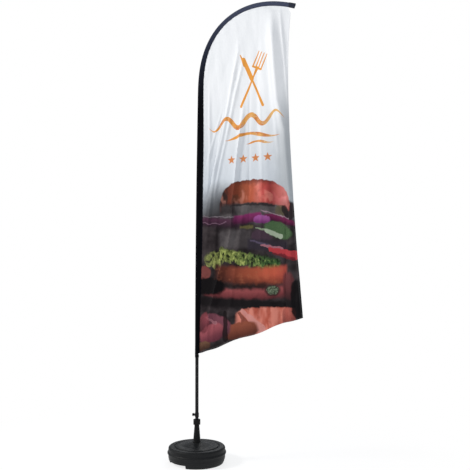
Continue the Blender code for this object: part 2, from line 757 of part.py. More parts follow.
def make_clamp(materials, mast, screw_turn):
    """Ring on the tube's foot with a boss for the screw and its brass insert."""
    top = CLAMP_FOOT + CLAMP_HEIGHT
    section = [
        (CLAMP_BORE, CLAMP_FOOT),
        (CLAMP_RADIUS - CLAMP_BEVEL, CLAMP_FOOT),
        (CLAMP_RADIUS, CLAMP_FOOT + CLAMP_BEVEL),
        (CLAMP_RADIUS, top - CLAMP_BEVEL),
        (CLAMP_RADIUS - CLAMP_BEVEL, top),
        (CLAMP_BORE, top),
    ]
    clamp = add_piece("pole_clamp", turned(section, 32), materials["hard_plastic"], mast)
    at_screw = (0.0, 0.0, SCREW_HEIGHT)
    boss = screw_cylinder(BOSS_RADIUS, CLAMP_RADIUS - 0.0018, BOSS_REACH, FACETS)
    combine(clamp, add_cutter("join_screw_boss", boss, at_screw, screw_turn), "UNION")
    hole = screw_cylinder(SCREW_HOLE_RADIUS, CLAMP_BORE - 0.003, BOSS_REACH + 0.005)
    cut(clamp, add_cutter("cut_clamp_hole", hole, at_screw, screw_turn))

    outer = SCREW_HOLE_RADIUS - GAP
    insert = turned(ring_section(outer - INSERT_WALL, outer, INSERT_START, BOSS_REACH), 16)
    add_piece("clamp_insert", insert, materials["brass"], mast, at_screw, screw_turn)


def make_screw(materials, mast, screw_turn):
    """Thumbscrew with its knob, and the pad on its end that slides but doesn't turn."""
    axis = add_axis("screw_axis", (0.0, 0.0, SCREW_HEIGHT), mast, screw_turn)
    pad = screw_cylinder(PAD_RADIUS, PAD_START, PAD_START + PAD_LENGTH)
    add_piece("clamp_pad", pad, materials["nylon"], axis)

    stud = [
        (0.0, STUD_START),
        (SCREW_RADIUS - 0.0005, STUD_START),
        (SCREW_RADIUS, STUD_START + 0.0005),
        (SCREW_RADIUS, STUD_END),
        (0.0, STUD_END),
    ]
    add_piece("thumbscrew_stud", turned(stud, 16, closed=False), materials["steel"], axis)

    socket = SCREW_RADIUS + GAP
    knob_section = [
        (socket, KNOB_START),
        (KNOB_RADIUS * 0.55, KNOB_START),
        (KNOB_RADIUS * 0.62, KNOB_START + 0.002),
        (KNOB_RADIUS - KNOB_BEVEL, KNOB_START + 0.0025),
        (KNOB_RADIUS, KNOB_START + 0.0025 + KNOB_BEVEL),
        (KNOB_RADIUS, KNOB_END - KNOB_BEVEL),
        (KNOB_RADIUS - KNOB_BEVEL, KNOB_END),
        (0.0, KNOB_END),
        (0.0, STUD_END + GAP),
        (socket, STUD_END + GAP),
    ]
    knob = turned(knob_section, 36)
    flute(knob, KNOB_LOBES, KNOB_LOBE_DEPTH, KNOB_RADIUS * 0.7)
    add_piece("thumbscrew_knob", knob, materials["hard_plastic"], axis)


# ---------------------------------------------------------------- the flag

def sleeve_width(distance):
    """Width of the pocket across the mast, seen from the side."""
    widen = smoothstep((distance - SLEEVE_FOOT) / SLEEVE_WIDEN_LENGTH)
    narrow = smoothstep((distance - SLEEVE_NARROW_START) / SLEEVE_NARROW_LENGTH)
    body = SLEEVE_FOOT_WIDTH + (SLEEVE_BODY_WIDTH - SLEEVE_FOOT_WIDTH) * widen
    return body + (SLEEVE_TIP_WIDTH - SLEEVE_BODY_WIDTH) * narrow


def sleeve_radius(distance):
    """Radius of the pocket's round side, which hugs the mast."""
    thinner = smoothstep((distance - REDUCER_TOP) / (MAST_LENGTH - REDUCER_TOP - 0.3))
    return SLEEVE_RADIUS + (SLEEVE_TIP_RADIUS - SLEEVE_RADIUS) * thinner


def pocket_loop(radius, seam, seam_half):
    """A drop-shaped loop: an arc round the mast, and two flat sides that meet at the seam."""
    tangent = math.acos(min((radius - seam_half) / seam, 0.95))
    angles = np.linspace(tangent, 2 * math.pi - tangent, SLEEVE_ARC_POINTS)
    points = [(radius * math.cos(a), radius * math.sin(a)) for a in angles]
    return points + [(seam, -seam_half), (seam, seam_half)]


def sleeve_loop(distance, inset, tuck):
    radius = sleeve_radius(distance)
    seam = sleeve_width(distance) - radius
    return pocket_loop(radius - inset, seam - tuck, max(SEAM_HALF - inset, SEAM_HALF / 4))


def slanted(loop, distance):
    """Places a pocket loop on the mast's straight axis, with the slanted cut at the sleeve's foot."""
    fade = 1.0 - smoothstep((distance - SLEEVE_FOOT) / 0.15)
    lift = HEM_SLOPE * float(fade)
    return [(n, y, distance + lift * (n + SLEEVE_RADIUS)) for n, y in loop]


SLEEVE_SPOTS = stations(SLEEVE_FOOT, MAST_LENGTH)


def make_sleeve(materials, mast):
    outside = [slanted(sleeve_loop(s, 0.0, 0.0), s) for s in SLEEVE_SPOTS]
    inside = [slanted(sleeve_loop(s, CLOTH, SEAM_TUCK), s) for s in reversed(SLEEVE_SPOTS)]
    bm = lofted(outside + inside, cap_start=False, cap_end=False)
    foot_edges = [e for e in bm.edges if e.is_boundary]
    bmesh.ops.bridge_loops(bm, edges=foot_edges)
    bmesh.ops.recalc_face_normals(bm, faces=bm.faces)
    add_piece("flag_sleeve", bend_on_mast(bm), materials["sleeve_cloth"], mast)


def make_band(materials, mast):
    """Band that closes the sleeve's foot round the lower tube."""
    start = SLEEVE_FOOT - GAP - BAND_HEIGHT
    inner = POLE_RADIUS + GAP
    band = turned(ring_section(inner, inner + BAND_THICKNESS, start, SLEEVE_FOOT - GAP))
    add_piece("sleeve_band", bend_on_mast(band), materials["sleeve_cloth"], mast)


def make_pocket(materials, mast):
    """Reinforced cap of double cloth sewn over the sleeve's end."""
    start = MAST_LENGTH - POCKET_LENGTH
    floor = MAST_LENGTH + GAP
    end = floor + 2 * CLOTH
    around = GAP + CLOTH

    def loop_at(distance, grow, height):
        """The sleeve's own outline at a distance, grown all round. Past its end it stays the same."""
        return [(n, y, height) for n, y in sleeve_loop(min(distance, MAST_LENGTH), -grow, -grow)]

    spots = [start, (start + MAST_LENGTH) / 2, MAST_LENGTH]
    outside = [loop_at(s, around, s) for s in spots] + [loop_at(end, GAP, end)]
    inside = [loop_at(s, GAP, s) for s in spots] + [loop_at(floor, GAP, floor)]
    bm = lofted(list(reversed(inside)) + outside)
    add_piece("tip_pocket", bend_on_mast(bm), materials["sleeve_cloth"], mast)


def seam_point(distance):
    """The sleeve's seam in the XZ plane, where the panel is sewn on."""
    centre, onward, inward = mast_frame(distance)
    reach = sleeve_width(distance) - sleeve_radius(distance)
    fade = 1.0 - smoothstep((distance - SLEEVE_FOOT) / 0.15)
    lift = HEM_SLOPE * float(fade) * (reach + SLEEVE_RADIUS)
    return centre + inward * (reach + GAP) + onward * lift


def free_edge_point(share, seam_foot, seam_top):
    """The free edge, from the lower corner (0) to the top corner (1), drawn in towards the mast between them."""
    corner = seam_foot + PANEL_FOOT_WIDTH * np.array([1.0, HEM_SLOPE])
    top = seam_top + np.array([PANEL_TOP_REACH, -PANEL_TOP_DROP])
    bow = FREE_EDGE_BOW * math.sin(math.pi * share) + FREE_EDGE_TOP_BOW * math.sin(math.pi * share**3)
    return corner + (top - corner) * share - np.array([bow, 0.0])


def make_panel(materials, mast):
    """The printed panel, flat between the seam and the free edge."""
    half = PANEL_THICKNESS / 2
    top = MAST_LENGTH - POCKET_LENGTH - PANEL_TIP_MARGIN
    spots = [s for s in SLEEVE_SPOTS if s < top]
    loops = []
    for spot in spots:
        seam = seam_point(spot)
        share = (spot - spots[0]) / (spots[-1] - spots[0])
        edge = free_edge_point(share, seam_point(spots[0]), seam_point(spots[-1]))
        line = [seam + (edge - seam) * column / PANEL_COLUMNS for column in range(PANEL_COLUMNS + 1)]
        front = [(x, -half, z) for x, z in line]
        back = [(x, half, z) for x, z in reversed(line)]
        loops.append(front + back)
    add_piece("flag_panel", lofted(loops), materials["panel_cloth"], mast)


# ---------------------------------------------------------------- assembly

def clear_scene():
    for old in list(bpy.data.objects):
        bpy.data.objects.remove(old, do_unlink=True)


def main():
    clear_scene()
    materials = make_materials()
    root = add_axis("base_frame")
    make_tank(materials, root)
    make_water(materials, root)
    make_filler(materials, root)
    make_neck(materials, root)
    make_bushes(materials, root)
    make_collar(materials, root)

    spindle_axis = make_spindle(materials, root)
    mast = add_axis("mast_axis", parent=spindle_axis)
    screw_turn = (0.0, math.radians(-90.0), 0.0)
    make_tubes(materials, mast, screw_turn)
    make_top(materials, mast)
    make_clamp(materials, mast, screw_turn)
    make_screw(materials, mast, screw_turn)
    make_band(materials, mast)
    make_sleeve(materials, mast)
    make_pocket(materials, mast)
    make_panel(materials, mast)


main()
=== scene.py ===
# Feather flag on a water base: the looks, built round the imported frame. Metres, +Z up.
# The mast turns about Z, +X runs from the mast to the flag's free edge, and the printed front faces -Y.
import math

import bmesh
import bpy
import numpy as np
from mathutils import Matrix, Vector


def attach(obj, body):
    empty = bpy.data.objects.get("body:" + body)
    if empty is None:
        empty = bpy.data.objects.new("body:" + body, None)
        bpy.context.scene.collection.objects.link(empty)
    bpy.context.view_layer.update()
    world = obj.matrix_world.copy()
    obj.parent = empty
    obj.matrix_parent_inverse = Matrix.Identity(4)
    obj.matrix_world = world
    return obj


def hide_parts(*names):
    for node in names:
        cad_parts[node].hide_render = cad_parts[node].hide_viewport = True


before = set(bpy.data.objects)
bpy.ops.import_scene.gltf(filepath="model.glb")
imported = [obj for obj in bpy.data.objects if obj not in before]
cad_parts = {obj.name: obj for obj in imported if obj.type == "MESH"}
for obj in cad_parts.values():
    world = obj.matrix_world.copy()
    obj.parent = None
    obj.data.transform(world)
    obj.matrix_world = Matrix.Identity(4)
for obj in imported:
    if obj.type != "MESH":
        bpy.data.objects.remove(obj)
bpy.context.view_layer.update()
scene = bpy.context.scene
print("frame loaded:", len(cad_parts), "nodes")


studio = {
    "turn": 20.0,  # degrees that the camera stands round to the right
    "tilt": 0.8,
    "distance": 5.64,
    "aside": 0.2858,
    "eyeHeight": 1.62,
    "lens": 57.45,
    "floorSize": 80.0,
    "skyStrength": 0.40,
    "skyTint": (0.90, 0.97, 1.06),
    "keyPower": 262.0,
    "keyColour": (1.0, 0.97, 0.93),
    "fillPower": 26.0,
    "keyPlace": (-4.9, -3.1, 4.9),
    "fillPlace": (4.2, -3.6, 2.4),
    "backPlace": (-1.2, 4.6, 4.2),
    "backShare": 2.2,
    "softSize": 2.6,
}


def aim(thing, target):
    thing.rotation_euler = (Vector(target) - thing.location).to_track_quat("-Z", "Y").to_euler()


def addSoftLight(name, place, target, size, power, colour=(1, 1, 1)):
    bpy.ops.object.light_add(type="AREA", location=place)
    light = bpy.context.object
    light.name = name
    light.data.shape = "DISK"
    light.data.size = size
    light.data.energy = power
    light.data.color = colour
    aim(light, target)
    return light


def setStudio():
    turn = math.radians(studio["turn"])
    look = Vector((-math.sin(turn), math.cos(turn), 0))
    right = Vector((math.cos(turn), math.sin(turn), 0))
    place = right * studio["aside"] - look * studio["distance"] + Vector((0, 0, studio["eyeHeight"]))
    bpy.ops.object.camera_add(location=place, rotation=(math.radians(90 + studio["tilt"]), 0, turn))
    camera = bpy.context.object
    camera.name = "frontCamera"
    camera.data.lens = studio["lens"]
    camera.data.sensor_width = 36
    scene.camera = camera
    scene.view_settings.view_transform = "Standard"

    addSoftLight("keyLight", studio["keyPlace"], (0.3, 0, 2.0), 1.5, studio["keyPower"], studio["keyColour"])
    addSoftLight("fillLight", studio["fillPlace"], (0.2, 0, 1.4), studio["softSize"], studio["fillPower"])
    backPower = studio["fillPower"] * studio["backShare"]
    addSoftLight("backLight", studio["backPlace"], (0.3, 0, 1.9), studio["softSize"], backPower)

    world = bpy.data.worlds.new("studioAir")
    scene.world = world
    world.use_nodes = True
    tree = world.node_tree
    tree.nodes.clear()
    seen = addNode(tree, "ShaderNodeLightPath").outputs["Is Camera Ray"]
    light = [studio["skyStrength"] * share for share in studio["skyTint"]]
    sky = addNode(tree, "ShaderNodeBackground",
                  {"Color": mixColour(tree, seen, (*light, 1), (1.0, 1.0, 1.0, 1))})
    tree.links.new(sky.outputs[0], addNode(tree, "ShaderNodeOutputWorld").inputs[0])


def deselectAll():
    active = bpy.context.view_layer.objects.active
    if active and active.mode != "OBJECT":
        bpy.ops.object.mode_set(mode="OBJECT")
    bpy.ops.object.select_all(action="DESELECT")


def pick(piece):
    deselectAll()
    piece.select_set(True)
    bpy.context.view_layer.objects.active = piece


def openForEdit(piece):
    pick(piece)
    bpy.ops.object.mode_set(mode="EDIT")


def closeEdit(piece):
    bpy.ops.mesh.select_all(action="SELECT")
    bpy.ops.mesh.normals_make_consistent(inside=False)
    bpy.ops.object.mode_set(mode="OBJECT")
    return piece


def movePoints(piece, places):
    piece.data.vertices.foreach_set("co", np.ascontiguousarray(places, np.float32).ravel())


def turnFacesOver(piece):
    openForEdit(piece)
    bpy.ops.mesh.select_all(action="SELECT")
    bpy.ops.mesh.flip_normals()
    bpy.ops.object.mode_set(mode="OBJECT")


def joinSeam(piece):
    openForEdit(piece)
    bpy.ops.mesh.select_all(action="SELECT")
    bpy.ops.mesh.remove_doubles(threshold=0.00002)
    return closeEdit(piece)


def selectFaces(piece, wanted):
    # wanted(centre, normal) says which faces of the piece being edited are selected
    bm = bmesh.from_edit_mesh(piece.data)
    for face in bm.faces:
        face.select_set(False)
    for face in bm.faces:
        if wanted(face.calc_center_median(), face.normal):
            face.select_set(True)
    bmesh.update_edit_mesh(piece.data)


def turnPiece(name, rings, sides=96, joined=False, axis=(0.0, 0.0)):
    # a circle extruded ring by ring up and across; joined runs the last ring back to the first
    deselectAll()
    radius, height = rings[0]
    bpy.ops.mesh.primitive_circle_add(vertices=sides, radius=radius, location=(*axis, height))
    piece = bpy.context.object
    piece.name = name
    bpy.ops.object.transform_apply(location=True, rotation=True, scale=True)
    bpy.ops.object.mode_set(mode="EDIT")
    bpy.ops.mesh.select_all(action="SELECT")
    if not joined:
        bpy.ops.mesh.extrude_region_move()
        bpy.ops.mesh.merge(type="CENTER")
        selectOpenEdges(piece)
    for newRadius, newHeight in rings[1:]:
        bpy.ops.mesh.extrude_region_move(TRANSFORM_OT_translate={"value": (0, 0, newHeight - height)})
        share = newRadius / radius
        bpy.ops.transform.resize(value=(share, share, 1), center_override=(*axis, newHeight))
        radius, height = newRadius, newHeight
    if joined:
        selectOpenEdges(piece)
        bpy.ops.mesh.bridge_edge_loops()
    else:
        bpy.ops.mesh.extrude_region_move()
        bpy.ops.mesh.merge(type="CENTER")
    return closeEdit(piece)


def selectOpenEdges(piece):
    bpy.ops.mesh.select_all(action="DESELECT")
    bm = bmesh.from_edit_mesh(piece.data)
    for edge in bm.edges:
        if edge.is_boundary:
            edge.select_set(True)
    bmesh.update_edit_mesh(piece.data)


def pressFlutes(piece, count, share, depth, low, high, inset=0.0006, axis=(0.0, 0.0), turned=0.0):
    # every flute is a group of side faces, inset and pushed towards the axis
    openForEdit(piece)
    step = 2 * math.pi / count

    def inFlute(centre, normal):
        angle = (math.atan2(centre.y - axis[1], centre.x - axis[0]) + turned) % step
        side = abs(normal.z) < 0.35 and low < centre.z < high
        outward = normal.x * (centre.x - axis[0]) + normal.y * (centre.y - axis[1]) > 0
        return side and outward and abs(angle - step / 2) < share * step / 2

    selectFaces(piece, inFlute)
    bpy.ops.mesh.inset(thickness=inset, depth=0)
    bm = bmesh.from_edit_mesh(piece.data)
    chosen = [v.co for v in bm.verts if v.select]
    radius = max(math.hypot(p.x - axis[0], p.y - axis[1]) for p in chosen)
    push = (radius - depth) / radius
    bpy.ops.transform.resize(value=(push, push, 1), center_override=(*axis, (low + high) / 2))
    return closeEdit(piece)


def soften(piece, width, segments=2, angle=30.0):
    pick(piece)
    bevel = piece.modifiers.new("softEdge", "BEVEL")
    bevel.width = width
    bevel.segments = segments
    bevel.limit_method = "ANGLE"
    bevel.angle_limit = math.radians(angle)
    bevel.harden_normals = False
    bpy.ops.object.modifier_apply(modifier=bevel.name)
    return piece


def carve(piece, cutter, operation="DIFFERENCE"):
    pick(piece)
    cut = piece.modifiers.new("carve", "BOOLEAN")
    cut.operation = operation
    cut.object = cutter
    cut.solver = "EXACT"
    bpy.ops.object.modifier_apply(modifier=cut.name)
    bpy.data.objects.remove(cutter, do_unlink=True)
    return piece


def lieAlong(piece, angle, orient, height):
    # a piece turned on the Z axis is laid over about Y, then lifted to its height
    pick(piece)
    piece.rotation_euler[orient] = angle
    piece.location.z = height
    bpy.ops.object.transform_apply(location=True, rotation=True, scale=True)
    return piece


def smoothShade(piece, angle=32.0):
    pick(piece)
    bpy.ops.object.shade_smooth_by_angle(angle=math.radians(angle))
    return piece


def finishPiece(piece, body, material, slotName, *replaced):
    piece.data.materials.clear()
    for one in material if isinstance(material, (list, tuple)) else [material]:
        piece.data.materials.append(one)
    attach(piece, body)
    if replaced:
        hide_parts(*replaced)
    return piece


def paint(red, green, blue):
    # a colour as a printer names it, 0 to 255, as the linear colour that a shader wants
    def linear(value):
        value /= 255
        return value / 12.92 if value <= 0.04045 else ((value + 0.055) / 1.055) ** 2.4

    return (linear(red), linear(green), linear(blue), 1.0)


def plug(tree, socket, value):
    if isinstance(value, bpy.types.NodeSocket):
        tree.links.new(value, socket)
    else:
        socket.default_value = value


def addNode(tree, kind, inputs=None, **settings):
    node = tree.nodes.new(kind)
    for name, value in settings.items():
        setattr(node, name, value)
    for name, value in (inputs or {}).items():
        plug(tree, node.inputs[name], value)
    return node


def calc(tree, operation, *values, clamp=False):
    node = addNode(tree, "ShaderNodeMath", dict(enumerate(values)), operation=operation, use_clamp=clamp)
    return node.outputs[0]


def times(tree, first, second):
    return calc(tree, "MULTIPLY", first, second)


def plus(tree, first, second):
    return calc(tree, "ADD", first, second)


def minus(tree, first, second):
    return calc(tree, "SUBTRACT", first, second)


def vectorCalc(tree, operation, *values):
    node = addNode(tree, "ShaderNodeVectorMath", dict(enumerate(values)), operation=operation)
    return node.outputs["Value" if operation in ("LENGTH", "DOT_PRODUCT", "DISTANCE") else "Vector"]


def scaleVector(tree, vector, amount):
    node = addNode(tree, "ShaderNodeVectorMath", {0: vector, "Scale": amount}, operation="SCALE")
    return node.outputs["Vector"]


def mixColour(tree, factor, under, over, blend="MIX"):
    node = addNode(tree, "ShaderNodeMix", {0: factor, 6: under, 7: over}, data_type="RGBA", blend_type=blend)
    return node.outputs[2]


def mixValue(tree, factor, first, second):
    return addNode(tree, "ShaderNodeMix", {0: factor, 2: first, 3: second}).outputs[0]


def remap(tree, value, low, high, toLow=0.0, toHigh=1.0, smooth=True):
    kind = "SMOOTHSTEP" if smooth else "LINEAR"
    inputs = {"Value": value, "From Min": low, "From Max": high, "To Min": toLow, "To Max": toHigh}
    return addNode(tree, "ShaderNodeMapRange", inputs, interpolation_type=kind).outputs["Result"]


def splitVector(tree, vector):
    parts = addNode(tree, "ShaderNodeSeparateXYZ", {0: vector})
    return parts.outputs[0], parts.outputs[1], parts.outputs[2]


def joinVector(tree, x, y, z=0.0):
    return addNode(tree, "ShaderNodeCombineXYZ", {0: x, 1: y, 2: z}).outputs[0]


def stretched(tree, vector, scale, turn=0.0):
    return addNode(
        tree, "ShaderNodeMapping", {"Vector": vector, "Scale": scale, "Rotation": (0.0, 0.0, turn)}
    ).outputs[0]


def noise(tree, vector, scale, detail=3.0, rough=0.5):
    inputs = {"Vector": vector, "Scale": scale, "Detail": detail, "Roughness": rough}
    return addNode(tree, "ShaderNodeTexNoise", inputs).outputs[0]


def colourRamp(tree, value, stops):
    node = addNode(tree, "ShaderNodeValToRGB", {0: value})
    ramp = node.color_ramp
    for element, (position, colour) in zip(ramp.elements, (stops[0], stops[-1])):
        element.position = position
        element.color = colour
    for position, colour in stops[1:-1]:
        ramp.elements.new(position).color = colour
    return node.outputs[0]


def startGroup(name, inputs, outputs):
    # inputs are (name, kind, default) and outputs are (name, kind)
    tree = bpy.data.node_groups.new(name, "ShaderNodeTree")
    kinds = {"value": "NodeSocketFloat", "vector": "NodeSocketVector", "colour": "NodeSocketColor"}
    for label, kind, default in inputs:
        socket = tree.interface.new_socket(name=label, in_out="INPUT", socket_type=kinds[kind])
        socket.default_value = default
    for label, kind in outputs:
        tree.interface.new_socket(name=label, in_out="OUTPUT", socket_type=kinds[kind])
    entry = tree.nodes.new("NodeGroupInput")
    ending = tree.nodes.new("NodeGroupOutput")
    return tree, entry.outputs, ending.inputs


def useGroup(tree, group, inputs=None):
    node = addNode(tree, "ShaderNodeGroup", node_tree=group)
    for name, value in (inputs or {}).items():
        plug(tree, node.inputs[name], value)
    return node.outputs


def makeSurfaceGroups():
    groups = {}

    tree, given, result = startGroup(
        "mouldedGrain",
        [("Vector", "vector", (0, 0, 0)), ("Grain", "value", 900.0), ("Blotch", "value", 14.0)],
        [("Height", "value"), ("Patch", "value")],
    )
    fine = noise(tree, given["Vector"], given["Grain"], 2.0, 0.6)
    broad = noise(tree, given["Vector"], given["Blotch"], 4.0, 0.55)
    tree.links.new(plus(tree, fine, times(tree, broad, 0.6)), result["Height"])
    tree.links.new(remap(tree, broad, 0.32, 0.68), result["Patch"])
    groups["grain"] = tree

    tree, given, result = startGroup(
        "edgeWear",
        [("Vector", "vector", (0, 0, 0)), ("Start", "value", 0.53), ("Full", "value", 0.60)],
        [("Mask", "value")],
    )
    edge = addNode(tree, "ShaderNodeNewGeometry").outputs["Pointiness"]
    broken = remap(tree, noise(tree, given["Vector"], 70.0, 4.0, 0.65), 0.42, 0.62)
    sharp = remap(tree, edge, given["Start"], given["Full"])
    tree.links.new(times(tree, sharp, broken), result["Mask"])
    groups["wear"] = tree

    tree, given, result = startGroup(
        "settledDust", [("Vector", "vector", (0, 0, 0)), ("Amount", "value", 0.4)], [("Mask", "value")]
    )
    upward = splitVector(tree, addNode(tree, "ShaderNodeNewGeometry").outputs["Normal"])[2]
    flat = remap(tree, upward, 0.55, 1.0)
    speck = remap(tree, noise(tree, given["Vector"], 34.0, 6.0, 0.7), 0.44, 0.74)
    mask = times(tree, times(tree, flat, speck), given["Amount"])
    tree.links.new(mask, result["Mask"])
    groups["dust"] = tree

    tree, given, result = startGroup(
        "rubMarks",
        [("Vector", "vector", (0, 0, 0)), ("Stretch", "vector", (1, 1, 0.03)), ("Scale", "value", 420.0),
         ("Threshold", "value", 0.66)],
        [("Mask", "value")],
    )
    lines = vectorCalc(tree, "MULTIPLY", given["Vector"], given["Stretch"])
    streak = noise(tree, lines, given["Scale"], 2.0, 0.5)
    patch = remap(tree, noise(tree, given["Vector"], 9.0, 2.0, 0.5), 0.4, 0.65)
    line = remap(tree, streak, given["Threshold"], plus(tree, given["Threshold"], 0.06))
    tree.links.new(times(tree, line, patch), result["Mask"])
    groups["rub"] = tree

    # knitted cloth: columns of small V loops, on coordinates in metres
    tree, given, result = startGroup(
        "knitWeave",
        [("Vector", "vector", (0, 0, 0)), ("Pitch", "value", 0.0009)],
        [("Height", "value"), ("Thread", "value")],
    )
    across, along, _ = splitVector(tree, given["Vector"])
    column = calc(tree, "DIVIDE", across, given["Pitch"])
    row = calc(tree, "DIVIDE", along, given["Pitch"])
    zig = calc(tree, "PINGPONG", column, 0.5)
    slanted = plus(tree, row, times(tree, zig, 1.4))
    loopWave = calc(tree, "SINE", times(tree, slanted, 2 * math.pi))
    columnWave = calc(tree, "COSINE", times(tree, column, 2 * math.pi))
    height = plus(tree, times(tree, loopWave, 0.5), times(tree, columnWave, 0.5))
    tree.links.new(height, result["Height"])
    tree.links.new(remap(tree, height, -0.9, 0.7), result["Thread"])
    groups["knit"] = tree

    # one row of stitches, on coordinates in metres: Across is measured from the row
    tree, given, result = startGroup(
        "stitchRow",
        [("Across", "value", 0.0), ("Along", "value", 0.0), ("Pitch", "value", 0.0036),
         ("Half Width", "value", 0.0005)],
        [("Mask", "value")],
    )
    beat = calc(tree, "PINGPONG", calc(tree, "DIVIDE", given["Along"], given["Pitch"]), 0.5)
    dash = remap(tree, beat, 0.10, 0.17)
    near = calc(tree, "ABSOLUTE", given["Across"])
    strip = remap(tree, near, given["Half Width"], times(tree, given["Half Width"], 1.5), 1.0, 0.0)
    tree.links.new(times(tree, dash, strip), result["Mask"])
    groups["stitch"] = tree
    return groups


def startMaterial(name, **shaderValues):
    # the constant numbers of the finish are set on the shader's own sockets
    material = bpy.data.materials.new(name)
    material.use_nodes = True
    tree = material.node_tree
    shader = tree.nodes["Principled BSDF"]
    for label, value in shaderValues.items():
        shader.inputs[label.replace("_", " ")].default_value = value
    return material, tree, shader


def bumpInto(tree, shader, height, strength, distance):
    bump = addNode(tree, "ShaderNodeBump", {"Height": height, "Strength": strength, "Distance": distance})
    tree.links.new(bump.outputs[0], shader.inputs["Normal"])


def objectPlace(tree):
    return addNode(tree, "ShaderNodeTexCoord").outputs["Object"]


def makePlastic(name, groups, finish):
    # moulded plastic: grain, patchy colour, worn edges and dust on what faces up
    material, tree, shader = startMaterial(name, IOR=1.42, Specular_IOR_Level=0.26)
    place = objectPlace(tree)
    grain = useGroup(tree, groups["grain"], {"Vector": place, "Grain": finish["grain"],
                                             "Blotch": finish["blotch"]})
    colour = mixColour(tree, grain["Patch"], paint(*finish["dark"]), paint(*finish["light"]))
    wear = useGroup(tree, groups["wear"], {"Vector": place})["Mask"]
    colour = mixColour(tree, times(tree, wear, finish["wear"]), colour, paint(*finish["worn"]))
    dust = useGroup(tree, groups["dust"], {"Vector": place, "Amount": finish["dust"]})["Mask"]
    colour = mixColour(tree, dust, colour, paint(124, 120, 114))
    rub = useGroup(tree, groups["rub"], {"Vector": place, "Stretch": finish["stretch"],
                                         "Scale": 300.0})["Mask"]
    tree.links.new(mixColour(tree, times(tree, rub, 0.22), colour, paint(*finish["worn"])),
                   shader.inputs["Base Color"])
    rough = plus(tree, finish["rough"], times(tree, grain["Patch"], 0.08))
    rough = plus(tree, rough, times(tree, dust, 0.25))
    rough = minus(tree, rough, times(tree, rub, 0.12))
    tree.links.new(rough, shader.inputs["Roughness"])
    bumpInto(tree, shader, grain["Height"], finish["bump"], 0.0003)
    return material


def makeMetal(name, groups, finish):
    # bare or plated metal with turning lines, stains and bright rubbed places
    material, tree, shader = startMaterial(name, Metallic=1.0)
    place = objectPlace(tree)
    grain = useGroup(tree, groups["grain"], {"Vector": place, "Grain": 1500.0, "Blotch": 60.0})
    lines = noise(tree, vectorCalc(tree, "MULTIPLY", place, finish["lines"]), 900.0, 1.0, 0.4)
    colour = mixColour(tree, grain["Patch"], paint(*finish["dark"]), paint(*finish["light"]))
    rub = useGroup(tree, groups["rub"], {"Vector": place, "Stretch": (1, 1, 0.05), "Scale": 500.0})["Mask"]
    tree.links.new(mixColour(tree, rub, colour, paint(*finish["worn"])), shader.inputs["Base Color"])
    rough = plus(tree, finish["rough"], times(tree, lines, 0.16))
    tree.links.new(rough, shader.inputs["Roughness"])
    bumpInto(tree, shader, lines, 0.10, 0.0002)
    return material


plasticFinishes = {
    "tankPlastic": dict(dark=(19, 20, 21), light=(27, 28, 29), worn=(52, 52, 54), wear=0.14, dust=0.10,
                        rough=0.50,
                        grain=750.0, blotch=7.0, bump=0.22, stretch=(1.0, 1.0, 0.10)),
    "neckPlastic": dict(dark=(7, 7, 8), light=(12, 12, 13), worn=(44, 44, 46), wear=0.3, dust=0.03,
                        rough=0.52,
                        grain=1100.0, blotch=30.0, bump=0.16, stretch=(1.0, 1.0, 0.05)),
    "gripPlastic": dict(dark=(6, 6, 7), light=(11, 11, 12), worn=(50, 50, 50), wear=0.4, dust=0.04,
                        rough=0.42,
                        grain=1600.0, blotch=60.0, bump=0.20, stretch=(0.2, 0.2, 1.0)),
    "blackRubber": dict(dark=(20, 20, 20), light=(30, 30, 30), worn=(60, 58, 56), wear=0.3, dust=0.35,
                        rough=0.72,
                        grain=1300.0, blotch=80.0, bump=0.30, stretch=(1.0, 1.0, 0.2)),
    "nylonWhite": dict(dark=(212, 208, 194), light=(228, 225, 214), worn=(188, 182, 166), wear=0.4, dust=0.1,
                       rough=0.36, grain=1700.0, blotch=90.0, bump=0.12, stretch=(0.1, 0.1, 1.0)),
}
metalFinishes = {
    "zincSteel": dict(dark=(118, 120, 124), light=(158, 160, 164), worn=(204, 204, 206), rough=0.26,
                      lines=(0.04, 0.04, 1.0)),
    "blackenedSteel": dict(dark=(38, 38, 41), light=(56, 57, 60), worn=(112, 112, 116), rough=0.32,
                           lines=(0.04, 0.04, 1.0)),
    "insertBrass": dict(dark=(150, 112, 48), light=(188, 148, 74), worn=(226, 190, 118), rough=0.24,
                        lines=(1.0, 0.04, 0.04)),
}


def makeTubeCoat(groups):
    # black powder coat: orange peel, fine rub lines along the tube, and a little dust
    material, tree, shader = startMaterial("blackPowderCoat", IOR=1.42, Specular_IOR_Level=0.26,
                                           Coat_Roughness=0.3)
    place = objectPlace(tree)
    peel = noise(tree, place, 1300.0, 2.0, 0.5)
    patch = noise(tree, stretched(tree, place, (1, 1, 0.25)), 22.0, 3.0, 0.5)
    rub = useGroup(
        tree, groups["rub"], {"Vector": place, "Stretch": (1, 1, 0.02), "Scale": 700.0, "Threshold": 0.62}
    )["Mask"]
    colour = mixColour(tree, remap(tree, patch, 0.35, 0.65), paint(8, 8, 9), paint(14, 14, 16))
    colour = mixColour(tree, times(tree, rub, 0.3), colour, paint(54, 55, 58))
    tree.links.new(colour, shader.inputs["Base Color"])
    rough = plus(tree, 0.44, times(tree, patch, 0.16))
    tree.links.new(minus(tree, rough, times(tree, rub, 0.1)), shader.inputs["Roughness"])
    tree.links.new(remap(tree, patch, 0.3, 0.7, 0.0, 0.05), shader.inputs["Coat Weight"])
    bumpInto(tree, shader, peel, 0.12, 0.0002)
    return material


